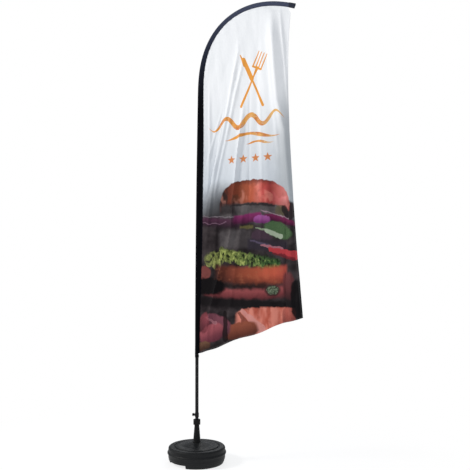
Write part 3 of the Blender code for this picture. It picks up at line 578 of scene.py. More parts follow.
def makeFibreglass(groups):
    # pultruded glass rod: long fibres in dark resin
    material, tree, shader = startMaterial("fibreglassRod", IOR=1.52)
    place = objectPlace(tree)
    fibres = noise(tree, stretched(tree, place, (1, 1, 0.01)), 1600.0, 3.0, 0.6)
    grain = useGroup(tree, groups["grain"], {"Vector": place, "Grain": 1200.0, "Blotch": 18.0})
    colour = mixColour(tree, remap(tree, fibres, 0.4, 0.62), paint(24, 25, 27), paint(62, 64, 66))
    tree.links.new(colour, shader.inputs["Base Color"])
    tree.links.new(remap(tree, grain["Patch"], 0.0, 1.0, 0.28, 0.42), shader.inputs["Roughness"])
    bumpInto(tree, shader, fibres, 0.15, 0.0002)
    return material


def makeWater():
    # the ballast: clear water with a faint tint, and small ripples on its top
    material, tree, shader = startMaterial("ballastWater", IOR=1.333, Transmission_Weight=0.9)
    place = objectPlace(tree)
    cloud = noise(tree, place, 8.0, 3.0, 0.5)
    tree.links.new(mixColour(tree, cloud, paint(196, 222, 226), paint(226, 240, 242)),
                   shader.inputs["Base Color"])
    tree.links.new(remap(tree, cloud, 0.3, 0.7, 0.02, 0.08), shader.inputs["Roughness"])
    bumpInto(tree, shader, noise(tree, place, 40.0, 2.0, 0.5), 0.1, 0.002)
    return material


def makeSleeveCloth(name, groups, finish):
    # dark knitted cloth on its own map in metres: u runs round the pocket, v along the mast; towards the top
    # arc its colour is lifted by painted light
    material, tree, shader = startMaterial(
        name, Sheen_Weight=finish["sheen"], Sheen_Roughness=0.4, Sheen_Tint=paint(*finish["sheenTint"]),
        IOR=1.35,
        Specular_IOR_Level=0.14,
    )
    cloth = addNode(tree, "ShaderNodeUVMap", uv_map="clothMap").outputs[0]
    across, along, _ = splitVector(tree, cloth)
    knit = useGroup(tree, groups["knit"], {"Vector": cloth, "Pitch": finish["pitch"]})
    fade = noise(tree, stretched(tree, cloth, (3.0, 1.0, 1.0)), 5.0, 4.0, 0.55)
    lint = remap(tree, noise(tree, cloth, 420.0, 2.0, 0.5), 0.70, 0.78)
    colour = mixColour(tree, remap(tree, fade, 0.35, 0.7), paint(*finish["dark"]), paint(*finish["light"]))
    # painted light: from one distance along the mast to the next the colour turns paler, standing in for the
    # light that the top arc catches
    paintedTopLight = remap(tree, along, finish["paintedLightFrom"], finish["paintedLightTo"])
    colour = mixColour(tree, paintedTopLight, colour, paint(*finish["paintedLightTone"]))
    colour = mixColour(tree, remap(tree, knit["Thread"], 0.0, 1.0, 0.5, 1.0), paint(*finish["deep"]), colour)
    colour = mixColour(tree, times(tree, lint, 0.10), colour, paint(90, 92, 102))
    height = knit["Height"]
    for row in finish["stitchRows"]:
        fromRow = minus(tree, across, row)
        mask = useGroup(tree, groups["stitch"], {"Across": fromRow, "Along": along})["Mask"]
        colour = mixColour(tree, mask, colour, paint(*finish["thread"]))
        height = plus(tree, height, times(tree, mask, 2.0))
    tree.links.new(colour, shader.inputs["Base Color"])
    tree.links.new(remap(tree, fade, 0.3, 0.7, 0.74, 0.88), shader.inputs["Roughness"])
    bumpInto(tree, shader, height, 0.35, 0.0003)
    return material


# the last three entries of each finish paint light along the mast; for the pocket and the band they start
# beyond the cloth's end
sleeveFinish = dict(deep=(1, 1, 3), dark=(2, 2, 6), light=(4, 4, 10), thread=(18, 19, 30), pitch=0.0009,
                    sheen=0.02, sheenTint=(120, 132, 170), stitchRows=(0.0045, 0.0075), paintedLightFrom=2.30,
                    paintedLightTo=3.30,
                    paintedLightTone=(74, 80, 102))
# painted light: the pocket's tones are set pale, standing in for the light that the top arc catches
pocketFinish = dict(deep=(20, 22, 28), dark=(48, 51, 64), light=(66, 70, 84), thread=(30, 30, 38),
                    pitch=0.0012,
                    sheen=0.06, sheenTint=(120, 128, 150), stitchRows=(0.004,), paintedLightFrom=8.0, paintedLightTo=9.0,
                    paintedLightTone=(40, 44, 66))
bandFinish = dict(deep=(2, 2, 3), dark=(5, 5, 6), light=(9, 9, 10), thread=(30, 30, 32), pitch=0.0016,
                  sheen=0.04, sheenTint=(120, 124, 130), stitchRows=(), paintedLightFrom=8.0, paintedLightTo=9.0,
                  paintedLightTone=(40, 44, 66))


def makeShapeGroups():
    shapes = {}

    # an oval, or with a higher power a rounded box
    tree, given, result = startGroup(
        "ovalShape",
        [("Vector", "vector", (0, 0, 0)), ("Centre", "vector", (0, 0, 0)), ("Half Width", "value", 0.1),
         ("Half Height", "value", 0.1), ("Turn", "value", 0.0), ("Power", "value", 2.0), ("Softness",
             "value", 0.1)],
        [("Mask", "value"), ("Across", "value"), ("Up", "value")],
    )
    local = vectorCalc(tree, "SUBTRACT", given["Vector"], given["Centre"])
    rotated = addNode(
        tree, "ShaderNodeVectorRotate", {"Vector": local, "Angle": times(tree, given["Turn"], -1.0)},
        rotation_type="Z_AXIS",
    ).outputs[0]
    x, z, _ = splitVector(tree, rotated)
    x = calc(tree, "DIVIDE", x, given["Half Width"])
    z = calc(tree, "DIVIDE", z, given["Half Height"])
    reach = calc(
        tree, "ADD",
        calc(tree, "POWER", calc(tree, "ABSOLUTE", x), given["Power"]),
        calc(tree, "POWER", calc(tree, "ABSOLUTE", z), given["Power"]),
    )
    low = minus(tree, 1.0, given["Softness"])
    high = plus(tree, 1.0, given["Softness"])
    tree.links.new(remap(tree, reach, low, high, 1.0, 0.0), result["Mask"])
    tree.links.new(x, result["Across"])
    tree.links.new(z, result["Up"])
    shapes["oval"] = tree

    # a level strip that can slope, bow and end softly
    tree, given, result = startGroup(
        "stripShape",
        [("Vector", "vector", (0, 0, 0)), ("Centre", "vector", (0, 0, 0)), ("Half Length", "value", 0.2),
         ("Half Height", "value", 0.03), ("Slope", "value", 0.0), ("Bow", "value", 0.0),
         ("Softness", "value", 0.008)],
        [("Mask", "value"), ("Across", "value"), ("Up", "value")],
    )
    x, z, _ = splitVector(tree, vectorCalc(tree, "SUBTRACT", given["Vector"], given["Centre"]))
    line = plus(tree, times(tree, x, given["Slope"]),
                times(tree, times(tree, x, x), given["Bow"]))
    above = minus(tree, z, line)
    inner = minus(tree, calc(tree, "ABSOLUTE", above), given["Half Height"])
    ends = minus(tree, calc(tree, "ABSOLUTE", x), given["Half Length"])
    less = times(tree, given["Softness"], -1.0)
    body = remap(tree, inner, less, given["Softness"], 1.0, 0.0)
    tree.links.new(times(tree, body, remap(tree, ends, less, given["Softness"], 1.0, 0.0)), result["Mask"])
    tree.links.new(calc(tree, "DIVIDE", x, given["Half Length"]), result["Across"])
    tree.links.new(calc(tree, "DIVIDE", above, given["Half Height"]), result["Up"])
    shapes["strip"] = tree

    # a round-ended stroke from Start along Run, with its own radius at each end
    tree, given, result = startGroup(
        "strokeShape",
        [("Vector", "vector", (0, 0, 0)), ("Start", "vector", (0, 0, 0)), ("Run", "vector", (0, 1, 0)),
         ("First", "value", 0.005), ("Last", "value", 0.005)],
        [("Mask", "value")],
    )
    local = vectorCalc(tree, "SUBTRACT", given["Vector"], given["Start"])
    along = calc(tree, "DIVIDE", vectorCalc(tree, "DOT_PRODUCT", local, given["Run"]),
                 vectorCalc(tree, "DOT_PRODUCT", given["Run"], given["Run"]), clamp=True)
    nearest = scaleVector(tree, given["Run"], along)
    apart = vectorCalc(tree, "LENGTH", vectorCalc(tree, "SUBTRACT", local, nearest))
    edge = minus(tree, apart, mixValue(tree, along, given["First"], given["Last"]))
    tree.links.new(remap(tree, edge, -0.0012, 0.0012, 1.0, 0.0), result["Mask"])
    shapes["stroke"] = tree

    # a row of five-pointed stars, Pitch apart, round Centre
    tree, given, result = startGroup(
        "starRow",
        [("Vector", "vector", (0, 0, 0)), ("Centre", "vector", (0, 0, 0)), ("Pitch", "value", 0.1),
         ("Count", "value", 4.0), ("Radius", "value", 0.03), ("Slope", "value", 0.0)],
        [("Mask", "value")],
    )
    x, z, _ = splitVector(tree, vectorCalc(tree, "SUBTRACT", given["Vector"], given["Centre"]))
    half = times(tree, times(tree, given["Pitch"], given["Count"]), 0.5)
    inRow = calc(tree, "LESS_THAN", calc(tree, "ABSOLUTE", x), half)
    z = minus(tree, z, times(tree, x, given["Slope"]))
    place = plus(tree, x, half)
    cell = minus(tree, calc(tree, "MODULO", place, given["Pitch"]),
                times(tree, given["Pitch"], 0.5))
    reach = calc(tree, "SQRT", plus(tree, times(tree, cell, cell), times(tree, z, z)))
    angle = calc(tree, "PINGPONG", calc(tree, "ARCTAN2", cell, z), math.pi / 5)
    tipX = minus(tree, times(tree, reach, calc(tree, "COSINE", angle)), given["Radius"])
    tipY = times(tree, reach, calc(tree, "SINE", angle))
    # the side runs from the point to the inner corner, which is 0.42 of the radius out
    inner = (0.42 * math.cos(math.pi / 5), 0.42 * math.sin(math.pi / 5))
    length = math.hypot(1 - inner[0], inner[1])
    side = plus(tree, times(tree, tipX, inner[1] / length),
                times(tree, tipY, (1 - inner[0]) / length))
    star = remap(tree, side, -0.001, 0.001, 1.0, 0.0)
    tree.links.new(times(tree, star, inRow), result["Mask"])
    shapes["stars"] = tree

    # a brush stroke that waves along X: it swells in its middle and dries out at its end
    tree, given, result = startGroup(
        "brushWave",
        [("Vector", "vector", (0, 0, 0)), ("Centre", "vector", (0, 0, 0)), ("Half Length", "value", 0.25),
         ("Height", "value", 0.03), ("Waves", "value", 2.0), ("Phase", "value", 0.0), ("Width", "value",
             0.015),
         ("Slope", "value", 0.0)],
        [("Mask", "value"), ("Across", "value")],
    )
    x, z, _ = splitVector(tree, vectorCalc(tree, "SUBTRACT", given["Vector"], given["Centre"]))
    share = calc(tree, "DIVIDE", x, given["Half Length"])
    swing = calc(tree, "SINE", plus(tree, times(tree, share,
                 times(tree, given["Waves"], math.pi)), given["Phase"]))
    line = plus(tree, times(tree, swing, given["Height"]), times(tree, x, given["Slope"]))
    swell = minus(tree, 1.0, calc(tree, "POWER", calc(tree, "ABSOLUTE", share), 2.4))
    press = plus(tree, 0.62, times(tree, calc(tree, "COSINE", times(tree, swing, 1.5)),
                 0.38))
    thick = times(tree, times(tree, swell, press), given["Width"])
    edge = minus(tree, calc(tree, "ABSOLUTE", minus(tree, z, line)), thick)
    tree.links.new(remap(tree, edge, -0.0016, 0.0016, 1.0, 0.0), result["Mask"])
    tree.links.new(share, result["Across"])
    shapes["brush"] = tree
    return shapes


# the printed picture, in metres on the flat cloth: x from the mast's axis, z from the floor
# the side tone is painted shade of the fold down the panel's right side, laid into the print
skyPrintAndFoldShade = {"top": (243, 245, 248), "low": (204, 211, 219), "smoke": (34, 29, 31), "side": (150, 156, 160)}
inkOrange = {"bright": (232, 158, 72), "deep": (205, 124, 66), "pale": (226, 178, 112), "star": (214,
    138, 88)}
starRow = {"centre": (0.42, 2.258), "pitch": 0.0945, "radius": 0.034, "slope": 0.045}
cutlery = {"centre": (0.440, 2.835), "lean": 24.0, "length": 0.42}
brushes = [
    dict(centre=(0.395, 2.535), halfLength=0.300, height=0.040, waves=3.1, phase=0.4, width=0.028,
         slope=0.10),
    dict(centre=(0.440, 2.425), halfLength=0.215, height=0.018, waves=1.1, phase=2.0, width=0.016,
         slope=0.06),
    dict(centre=(0.500, 2.375), halfLength=0.105, height=0.009, waves=1.1, phase=2.2, width=0.010,
         slope=0.04),
]
bunTones = [(0.0, (34, 25, 25)), (0.12, (58, 38, 34)), (0.26, (102, 58, 42)), (0.38, (158, 82, 58)),
            (0.48, (204, 106, 80)), (0.56, (222, 128, 116)), (0.64, (196, 84, 80)), (0.74, (150, 58, 58)),
            (0.84, (206, 112, 110)), (0.94, (222, 140, 138)), (1.0, (150, 72, 72))]
heelTones = [(0.0, (52, 32, 30)), (0.28, (124, 62, 46)), (0.55, (158, 78, 56)), (0.82, (192, 90, 68)),
             (1.0, (158, 70, 62))]


class PictureTable:
    # lays one shape after another over the running colour of the print
    def __init__(self, tree, shapes, vector):
        self.tree = tree
        self.shapes = shapes
        self.vector = vector
        self.colour = None

    def lay(self, mask, colour, strength=1.0):
        if strength != 1.0:
            mask = times(self.tree, mask, strength)
        if not isinstance(colour, bpy.types.NodeSocket):
            colour = paint(*colour)
        self.colour = mixColour(self.tree, mask, self.colour, colour)

    def oval(self, x, z, halfWidth, halfHeight, turn=0.0, power=2.0, soft=0.28):
        return useGroup(self.tree, self.shapes["oval"], {
            "Vector": self.vector, "Centre": (x, z, 0), "Half Width": halfWidth, "Half Height": halfHeight,
            "Turn": math.radians(turn), "Power": power, "Softness": soft})

    def strip(self, x, z, halfLength, halfHeight, slope=0.0, bow=0.0, soft=0.016):
        return useGroup(self.tree, self.shapes["strip"], {
            "Vector": self.vector, "Centre": (x, z, 0), "Half Length": halfLength, "Half Height": halfHeight,
            "Slope": slope, "Bow": bow, "Softness": soft})

    def stroke(self, start, end, first, last):
        run = (end[0] - start[0], end[1] - start[1], 0)
        return useGroup(self.tree, self.shapes["stroke"], {
            "Vector": self.vector, "Start": (*start, 0), "Run": run, "First": first, "Last": last})["Mask"]

    def layRound(self, shape, light, dark, low=-1.0, high=0.9, strength=1.0):
        # a shape that is light on top and falls into shade at its foot
        shaded = mixColour(self.tree, remap(self.tree, shape["Up"], low, high), paint(*dark), paint(*light))
        self.lay(shape["Mask"], shaded, strength)

    def tones(self, shape, stops):
        share = remap(self.tree, shape["Across"], -1.0, 1.0, smooth=False)
        return colourRamp(self.tree, share, [(place, paint(*tone)) for place, tone in stops])


forkStrokes = [((0, 0), (0, 0.62), 0.0100, 0.0058), ((-0.085, 0.72), (0.085, 0.72), 0.007, 0.007),
               ((0, 0.60), (0, 0.72), 0.007, 0.012)]
forkStrokes += [((tine, 0.72), (tine, 1.0), 0.0056, 0.0036) for tine in (-0.085, -0.028, 0.028, 0.085)]
knifeStrokes = [((0, 0), (0, 0.50), 0.0100, 0.0070), ((0, 0.52), (0, 0.90), 0.0160, 0.0150),
                ((-0.02, 0.80), (-0.02, 1.0), 0.0120, 0.0036)]


def paintCutlery(table):
    # a crossed fork and knife, drawn as outline strokes
    centre, length = Vector(cutlery["centre"]), cutlery["length"]

    def at(side, aside, along):
        # a point beside the piece's own line, from its handle's end (0) to its tip (1)
        lean = math.radians(cutlery["lean"]) * side
        onward = Vector((math.sin(lean), math.cos(lean)))
        beside = Vector((onward.y, -onward.x))
        return tuple(centre + onward * (along - 0.5) * length + beside * aside * length)

    for side, parts in ((1, forkStrokes), (-1, knifeStrokes)):
        for start, end, first, last in parts:
            table.lay(table.stroke(at(side, *start), at(side, *end), first, last), inkOrange["bright"])


def paintInk(table, flat, soft):
    # stars, brush strokes and the cutlery, in clean orange ink
    tree = table.tree
    table.vector = flat
    stars = useGroup(tree, table.shapes["stars"], {
        "Vector": flat, "Centre": (*starRow["centre"], 0), "Pitch": starRow["pitch"], "Count": 4.0,
        "Radius": starRow["radius"], "Slope": starRow["slope"]})["Mask"]
    table.lay(stars, inkOrange["star"])
    for brush in brushes:
        wave = useGroup(tree, table.shapes["brush"], {
            "Vector": flat, "Centre": (*brush["centre"], 0), "Half Length": brush["halfLength"],
            "Height": brush["height"], "Waves": brush["waves"], "Phase": brush["phase"],
            "Width": brush["width"],
            "Slope": brush["slope"]})
        dry = remap(tree, noise(tree, stretched(tree, flat, (0.12, 1.0, 1.0)), 260.0, 3.0, 0.6), 0.30, 0.42)
        tone = mixColour(tree, remap(tree, wave["Across"], -0.6, 0.9), paint(*inkOrange["bright"]),
                         paint(*inkOrange["pale"]))
        tone = mixColour(tree, remap(tree, soft, 0.42, 0.62), tone, paint(*inkOrange["deep"]))
        table.lay(times(tree, wave["Mask"], dry), tone)
    paintCutlery(table)


def paintTopBun(table, cloud):
    # a flat-topped crown whose foot arches, in facets from brown shade to pink light
    tree = table.tree
    bun = table.oval(0.455, 1.890, 0.270, 0.212, power=2.7, soft=0.05)
    under = table.strip(0.45, 1.740, 0.40, 0.195, bow=-0.9, soft=0.008)["Mask"]
    mask = times(tree, bun["Mask"], minus(tree, 1.0, under))
    colour = table.tones(bun, bunTones)
    facets = noise(tree, stretched(tree, table.vector, (1.0, 0.5, 1.0), 0.7), 13.0, 2.0, 0.5)
    colour = mixColour(tree, remap(tree, facets, 0.46, 0.56, 0.0, 0.35), colour, paint(150, 66, 46))
    colour = mixColour(tree, remap(tree, facets, 0.44, 0.34, 0.0, 0.30), colour, paint(236, 160, 142))
    colour = mixColour(tree, remap(tree, cloud, 0.45, 0.75, 0.0, 0.30), colour, paint(104, 52, 40))
    colour = mixColour(tree, remap(tree, bun["Up"], 0.76, 1.0, 0.0, 0.75), colour, paint(86, 48, 44))
    colour = mixColour(tree, remap(tree, bun["Up"], 0.36, 0.10, 0.0, 0.35), colour, paint(96, 44, 38))
    table.lay(mask, colour)


def paintFilling(table, soft):
    # from the top: meat, onion, a leaf with its stem, meat again and a slice of tomato
    tree = table.tree
    grill = mixColour(tree, remap(tree, soft, 0.3, 0.7), paint(64, 59, 61), paint(98, 93, 94))
    table.lay(table.strip(0.415, 1.882, 0.225, 0.046, bow=-0.35)["Mask"], grill)
    table.lay(table.strip(0.245, 1.895, 0.060, 0.040)["Mask"], (34, 28, 30), 0.7)
    table.lay(table.strip(0.44, 1.922, 0.170, 0.007, bow=-0.5, soft=0.006)["Mask"], (30, 24, 26), 0.7)
    table.lay(table.oval(0.655, 1.868, 0.042, 0.040)["Mask"], (92, 84, 66), 0.8)
    table.lay(table.oval(0.690, 1.862, 0.024, 0.050, turn=20)["Mask"], (34, 27, 30), 0.9)

    table.layRound(table.strip(0.185, 1.788, 0.165, 0.034, slope=-0.05), (78, 44, 66), (44, 30, 40),
                   strength=0.9)
    table.lay(table.strip(0.170, 1.832, 0.150, 0.003, slope=-0.02, soft=0.003)["Mask"], (138, 128, 136), 0.6)
    table.lay(table.strip(0.140, 1.782, 0.100, 0.003, bow=0.9, soft=0.003)["Mask"], (140, 108, 128), 0.6)
    table.layRound(table.strip(0.405, 1.818, 0.105, 0.032, slope=0.10, soft=0.010), (122, 44, 92), (72,
        28, 56))
    table.layRound(table.oval(0.655, 1.806, 0.130, 0.024, turn=-17), (108, 36, 74), (64, 24, 48))
    table.layRound(table.oval(0.512, 1.810, 0.060, 0.030, power=2.6), (150, 80, 142), (104, 46, 98))
    table.lay(table.strip(0.615, 1.846, 0.105, 0.003, slope=-0.30, soft=0.003)["Mask"], (176, 142, 160), 0.7)

    table.lay(table.oval(0.515, 1.690, 0.085, 0.050)["Mask"], (66, 50, 62))
    leaf = table.oval(0.640, 1.730, 0.110, 0.056, turn=-22)
    veins = noise(tree, stretched(tree, table.vector, (1.0, 3.0, 1.0), 0.5), 60.0, 2.0, 0.5)
    table.lay(leaf["Mask"], mixColour(tree, veins, paint(36, 62, 42), paint(92, 118, 80)))
    table.lay(table.stroke((0.470, 1.752), (0.560, 1.724), 0.003, 0.013), (128, 142, 118), 0.95)
    table.lay(table.stroke((0.545, 1.728), (0.650, 1.686), 0.011, 0.019), (158, 170, 150), 0.95)
    table.lay(table.strip(0.400, 1.754, 0.050, 0.011, soft=0.008)["Mask"], (98, 92, 56), 0.85)

    table.lay(table.strip(0.300, 1.668, 0.125, 0.066, soft=0.020)["Mask"], grill, 0.85)
    table.lay(table.strip(0.555, 1.622, 0.155, 0.040, slope=-0.06, soft=0.014)["Mask"], (46, 41, 50), 0.9)
    table.lay(table.strip(0.500, 1.640, 0.075, 0.007, slope=-0.20, soft=0.006)["Mask"], (92, 82, 104), 0.7)

    table.lay(table.stroke((0.52, 1.622), (0.66, 1.592), 0.010, 0.016), (168, 110, 122), 0.8)
    table.lay(table.stroke((0.58, 1.592), (0.775, 1.548), 0.014, 0.030), (172, 58, 64))
    table.lay(table.stroke((0.60, 1.566), (0.76, 1.522), 0.006, 0.012), (108, 34, 42), 0.8)


def paintLettuce(table, x):
    # frilled edges: bright points over dark gaps, in a wedge that thins to the right
    tree = table.tree
    rest = table.vector
    frill = noise(tree, stretched(tree, rest, (1.0, 0.6, 1.0), 0.5), 34.0, 6.0, 0.74)
    push = times(tree, minus(tree, frill, 0.5), 0.13)
    table.vector = vectorCalc(tree, "ADD", rest, joinVector(tree, times(tree, push, 0.4), push))
    leaves = mixColour(tree, remap(tree, x, 0.12, 0.62), paint(142, 152, 82), paint(54, 88, 48))
    leaves = mixColour(tree, remap(tree, frill, 0.40, 0.52), paint(22, 27, 18), leaves)
    bright = times(tree, remap(tree, frill, 0.52, 0.64), remap(tree, x, 0.70, 0.18, 0.25, 1.0))
    leaves = mixColour(tree, bright, leaves, paint(198, 204, 120))
    table.lay(table.strip(0.420, 1.515, 0.235, 0.046, slope=-0.19, soft=0.012)["Mask"], leaves)
    table.lay(table.oval(0.145, 1.515, 0.075, 0.060, soft=0.4)["Mask"], leaves, 0.62)
    table.vector = rest


def paintPlate(table, cloud, fine):
    # the lower bun, the plate that it stands on, and a sprig on the plate
    tree = table.tree
    table.lay(table.oval(0.060, 1.415, 0.050, 0.050)["Mask"], (126, 68, 64), 0.9)
    heel = table.strip(0.425, 1.395, 0.280, 0.064, bow=0.25, soft=0.020)
    colour = table.tones(heel, heelTones)
    colour = mixColour(tree, remap(tree, heel["Up"], 0.3, -1.0, 0.0, 0.65), colour, paint(52, 30, 28))
    colour = mixColour(tree, remap(tree, cloud, 0.5, 0.75, 0.0, 0.30), colour, paint(206, 124, 88))
    table.lay(heel["Mask"], colour)
    table.layRound(table.strip(0.400, 1.262, 0.345, 0.038, slope=0.03, bow=0.25, soft=0.022), (146, 74,
        76), (100, 46, 50))
    table.layRound(table.oval(0.718, 1.330, 0.048, 0.100, power=2.6, soft=0.5), (112, 58, 60), (58, 32,
        36), strength=0.9)
    table.lay(table.strip(0.36, 1.322, 0.190, 0.012, bow=0.35)["Mask"], (34, 24, 24), 0.85)
    table.lay(table.oval(0.590, 1.292, 0.062, 0.040)["Mask"], (42, 34, 34), 0.8)
    sprig = mixColour(tree, remap(tree, fine, 0.35, 0.65), paint(44, 54, 42), paint(118, 130, 108))
    table.lay(table.oval(0.592, 1.296, 0.046, 0.032)["Mask"], sprig)


def paintWedges(table, cloud):
    # a dark board, and the cut pieces that lie in front of it
    tree = table.tree
    table.lay(table.oval(0.09, 1.315, 0.140, 0.062, power=2.6, soft=0.4)["Mask"], (16, 13, 15))
    table.lay(table.strip(0.42, 1.192, 0.400, 0.034, slope=-0.03)["Mask"], (24, 20, 22))
    grain = noise(tree, stretched(tree, table.vector, (1.0, 0.35, 1.0), 0.9), 16.0, 2.0, 0.45)
    flesh = mixColour(tree, remap(tree, grain, 0.36, 0.64), paint(172, 82, 66), paint(214, 132, 116))
    table.lay(table.oval(0.540, 1.075, 0.225, 0.095, turn=3, power=3.6)["Mask"], flesh)
    table.lay(table.stroke((0.36, 1.140), (0.50, 1.02), 0.012, 0.034), (206, 144, 138), 0.75)
    table.lay(table.stroke((0.34, 1.120), (0.42, 1.00), 0.010, 0.040), (112, 58, 48), 0.8)
    table.layRound(table.oval(0.350, 0.995, 0.135, 0.058, turn=17, power=2.8), (142, 78, 60), (84, 44, 36))
    table.layRound(table.oval(0.720, 1.105, 0.055, 0.075, power=2.6), (172, 92, 82), (104, 50, 48),
                   strength=0.85)
    table.layRound(table.oval(0.160, 1.025, 0.115, 0.080, turn=-18, power=2.8), (118, 68, 80), (66, 36, 46))
    table.layRound(table.oval(0.120, 0.965, 0.105, 0.062, turn=28, power=2.6), (160, 84, 92), (92, 44, 56))
    table.lay(table.stroke((0.075, 1.080), (0.150, 1.045), 0.006, 0.012), (168, 112, 120), 0.7)
    table.layRound(table.oval(0.060, 1.040, 0.040, 0.080, turn=-12), (148, 72, 80), (92, 42, 50),
                   strength=0.7)
    table.layRound(table.oval(0.050, 0.870, 0.060, 0.032, turn=20), (112, 80, 62), (66, 44, 36))
    table.lay(table.stroke((0.23, 1.12), (0.235, 0.93), 0.016, 0.022), (20, 13, 15), 0.85)
    table.lay(table.oval(0.810, 1.235, 0.070, 0.140, power=3.0, soft=0.2)["Mask"], (20, 18, 20), 0.95)
    table.lay(remap(tree, cloud, 0.52, 0.74, 0.0, 0.22), (20, 14, 16), 1.0)


def makePrintAndFoldShade(shapes):
    tree, given, result = startGroup("flagPrintAndFoldShade", [("Vector", "vector", (0, 0, 0))], [("Colour", "colour")])
    flat = given["Vector"]
    soft = noise(tree, flat, 9.0, 3.0, 0.5)
    cloud = noise(tree, flat, 24.0, 4.0, 0.55)
    fine = noise(tree, flat, 75.0, 4.0, 0.6)
    x, z, _ = splitVector(tree, flat)
    shift = joinVector(tree, minus(tree, soft, 0.5), minus(tree, cloud, 0.5))
    ragged = vectorCalc(tree, "ADD", flat, scaleVector(tree, shift, 0.040))
    table = PictureTable(tree, shapes, ragged)

    # pale sky, a grey-blue band of painted shade down the right side for the fold there, smoke rising on the
    # left, and the dark board behind the food
    table.colour = mixColour(tree, remap(tree, z, 1.85, 2.85), paint(*skyPrintAndFoldShade["low"]),
                             paint(*skyPrintAndFoldShade["top"]))
    # painted shade: the fold's flank on the right, turned from the light, darkened into the print
    table.lay(table.oval(0.81, 2.10, 0.18, 0.66, soft=0.8)["Mask"], skyPrintAndFoldShade["side"], 0.72)
    table.lay(table.oval(0.20, 1.80, 0.19, 0.24, soft=0.9)["Mask"], skyPrintAndFoldShade["smoke"], 0.92)
    board = mixColour(tree, remap(tree, soft, 0.35, 0.7), paint(30, 25, 27), paint(66, 59, 61))
    table.lay(remap(tree, plus(tree, z, times(tree, soft, 0.10)), 1.96, 1.82, 0.0, 1.0), board)

    shade = table.strip(0.445, 1.915, 0.262, 0.052, bow=-0.45, soft=0.014)
    table.lay(shade["Mask"], (40, 33, 36))
    table.lay(table.oval(0.715, 1.865, 0.060, 0.075, soft=0.3)["Mask"], (46, 39, 42))
    paintTopBun(table, cloud)
    paintFilling(table, soft)
    paintLettuce(table, x)
    paintPlate(table, cloud, fine)
    below = table.colour
    paintWedges(table, cloud)
    # the shading of the foot stops short of the sky
    table.colour = mixColour(tree, remap(tree, z, 1.62, 1.55, 0.0, 1.0), below, table.colour)
    paintInk(table, flat, soft)
    tree.links.new(table.colour, result["Colour"])
    return tree


def makePanelCloth(name, groups, printAndShadeGroup, showThrough):
    # knitted polyester, printed; showThrough is the white that the back of the cloth keeps
    material, tree, shader = startMaterial(
        name, Sheen_Weight=0.02, Sheen_Roughness=0.5, Sheen_Tint=(1, 1, 1, 1), IOR=1.35,
        Specular_IOR_Level=0.12
    )
    cloth = addNode(tree, "ShaderNodeUVMap", uv_map="clothMap").outputs[0]
    colour = useGroup(tree, printAndShadeGroup, {"Vector": cloth})["Colour"]
    knit = useGroup(tree, groups["knit"], {"Vector": cloth, "Pitch": 0.0008})
    colour = mixColour(tree, remap(tree, knit["Thread"], 0.0, 1.0, 0.10, 0.0), colour, paint(20, 20, 24))
    colour = mixColour(tree, showThrough, colour, paint(238, 240, 243))
    tree.links.new(colour, shader.inputs["Base Color"])
    crinkle = noise(tree, stretched(tree, cloth, (1.0, 0.35, 1.0)), 26.0, 4.0, 0.5)
    tree.links.new(remap(tree, crinkle, 0.3, 0.7, 0.66, 0.80), shader.inputs["Roughness"])
    height = plus(tree, times(tree, crinkle, 8.0), times(tree, knit["Height"], 0.12))
    bumpInto(tree, shader, height, 0.35, 0.0012)
    return material


mast = {
    "foot": 0.3303,
    "length": 3.5864,
    "bendStart": 2.3959,
    "bendLength": 1.300,
    "lean": math.radians(1.0),
    "bend": math.radians(108.0),
    "poleRadius": 0.0125,
    "poleWall": 0.0015,
    "lowerLength": 1.190,
}
sleeve = {
    "foot": 0.470,
    "footWidth": 0.036,
    "bodyWidth": 0.054,
    "tipWidth": 0.034,
    "radius": 0.0148,
    "tipRadius": 0.0085,
    "seamHalf": 0.0016,
    "pocketLength": 0.045,
    "hemSlope": 0.3705,
    "cloth": 0.0006,
}


def smoothstep(value):
    value = np.clip(value, 0.0, 1.0)
    return value * value * (3 - 2 * value)


mastSteps = np.linspace(0.0, 3.62, 7241)
heading = mast["lean"] * smoothstep(mastSteps / mast["bendStart"])
heading = heading + mast["bend"] * smoothstep((mastSteps - mast["bendStart"]) / mast["bendLength"])
stepLength = mastSteps[1] - mastSteps[0]


def summed(values):
    return np.concatenate([[0.0], np.cumsum((values[1:] + values[:-1]) / 2 * stepLength)])


mastX = summed(np.sin(heading))
mastZ = mast["foot"] + summed(np.cos(heading))


def onMast(distance):
    # centre, onward and inward directions in the XZ plane, at a distance along the mast
    turn = np.interp(distance, mastSteps, heading)
    centre = np.stack([np.interp(distance, mastSteps, mastX), np.interp(distance, mastSteps, mastZ)], -1)
    onward = np.stack([np.sin(turn), np.cos(turn)], -1)
    inward = np.stack([np.cos(turn), -np.sin(turn)], -1)
    return centre, onward, inward


def sleeveWidth(distance):
    widen = smoothstep(distance - sleeve["foot"])
    narrow = smoothstep((distance - 1.9) / 1.2)
    return (sleeve["footWidth"] + (sleeve["bodyWidth"] - sleeve["footWidth"]) * widen
            + (sleeve["tipWidth"] - sleeve["bodyWidth"]) * narrow)


def sleeveRadius(distance):
    thinner = smoothstep((distance - mast["bendStart"]) / (mast["length"] - mast["bendStart"] - 0.3))
    return sleeve["radius"] + (sleeve["tipRadius"] - sleeve["radius"]) * thinner


def seamPoint(distance):
    centre, onward, inward = onMast(distance)
    reach = sleeveWidth(distance) - sleeveRadius(distance)
    fade = 1 - smoothstep((distance - sleeve["foot"]) / 0.15)
    lift = sleeve["hemSlope"] * fade * (reach + sleeve["radius"])
    return centre + inward * reach[..., None] + onward * lift[..., None]


def placeOnMast(distance, inward, sideways):
    centre, _, across = onMast(distance)
    flat = centre + across * inward[..., None]
    return np.stack([flat[..., 0], sideways, flat[..., 1]], -1)


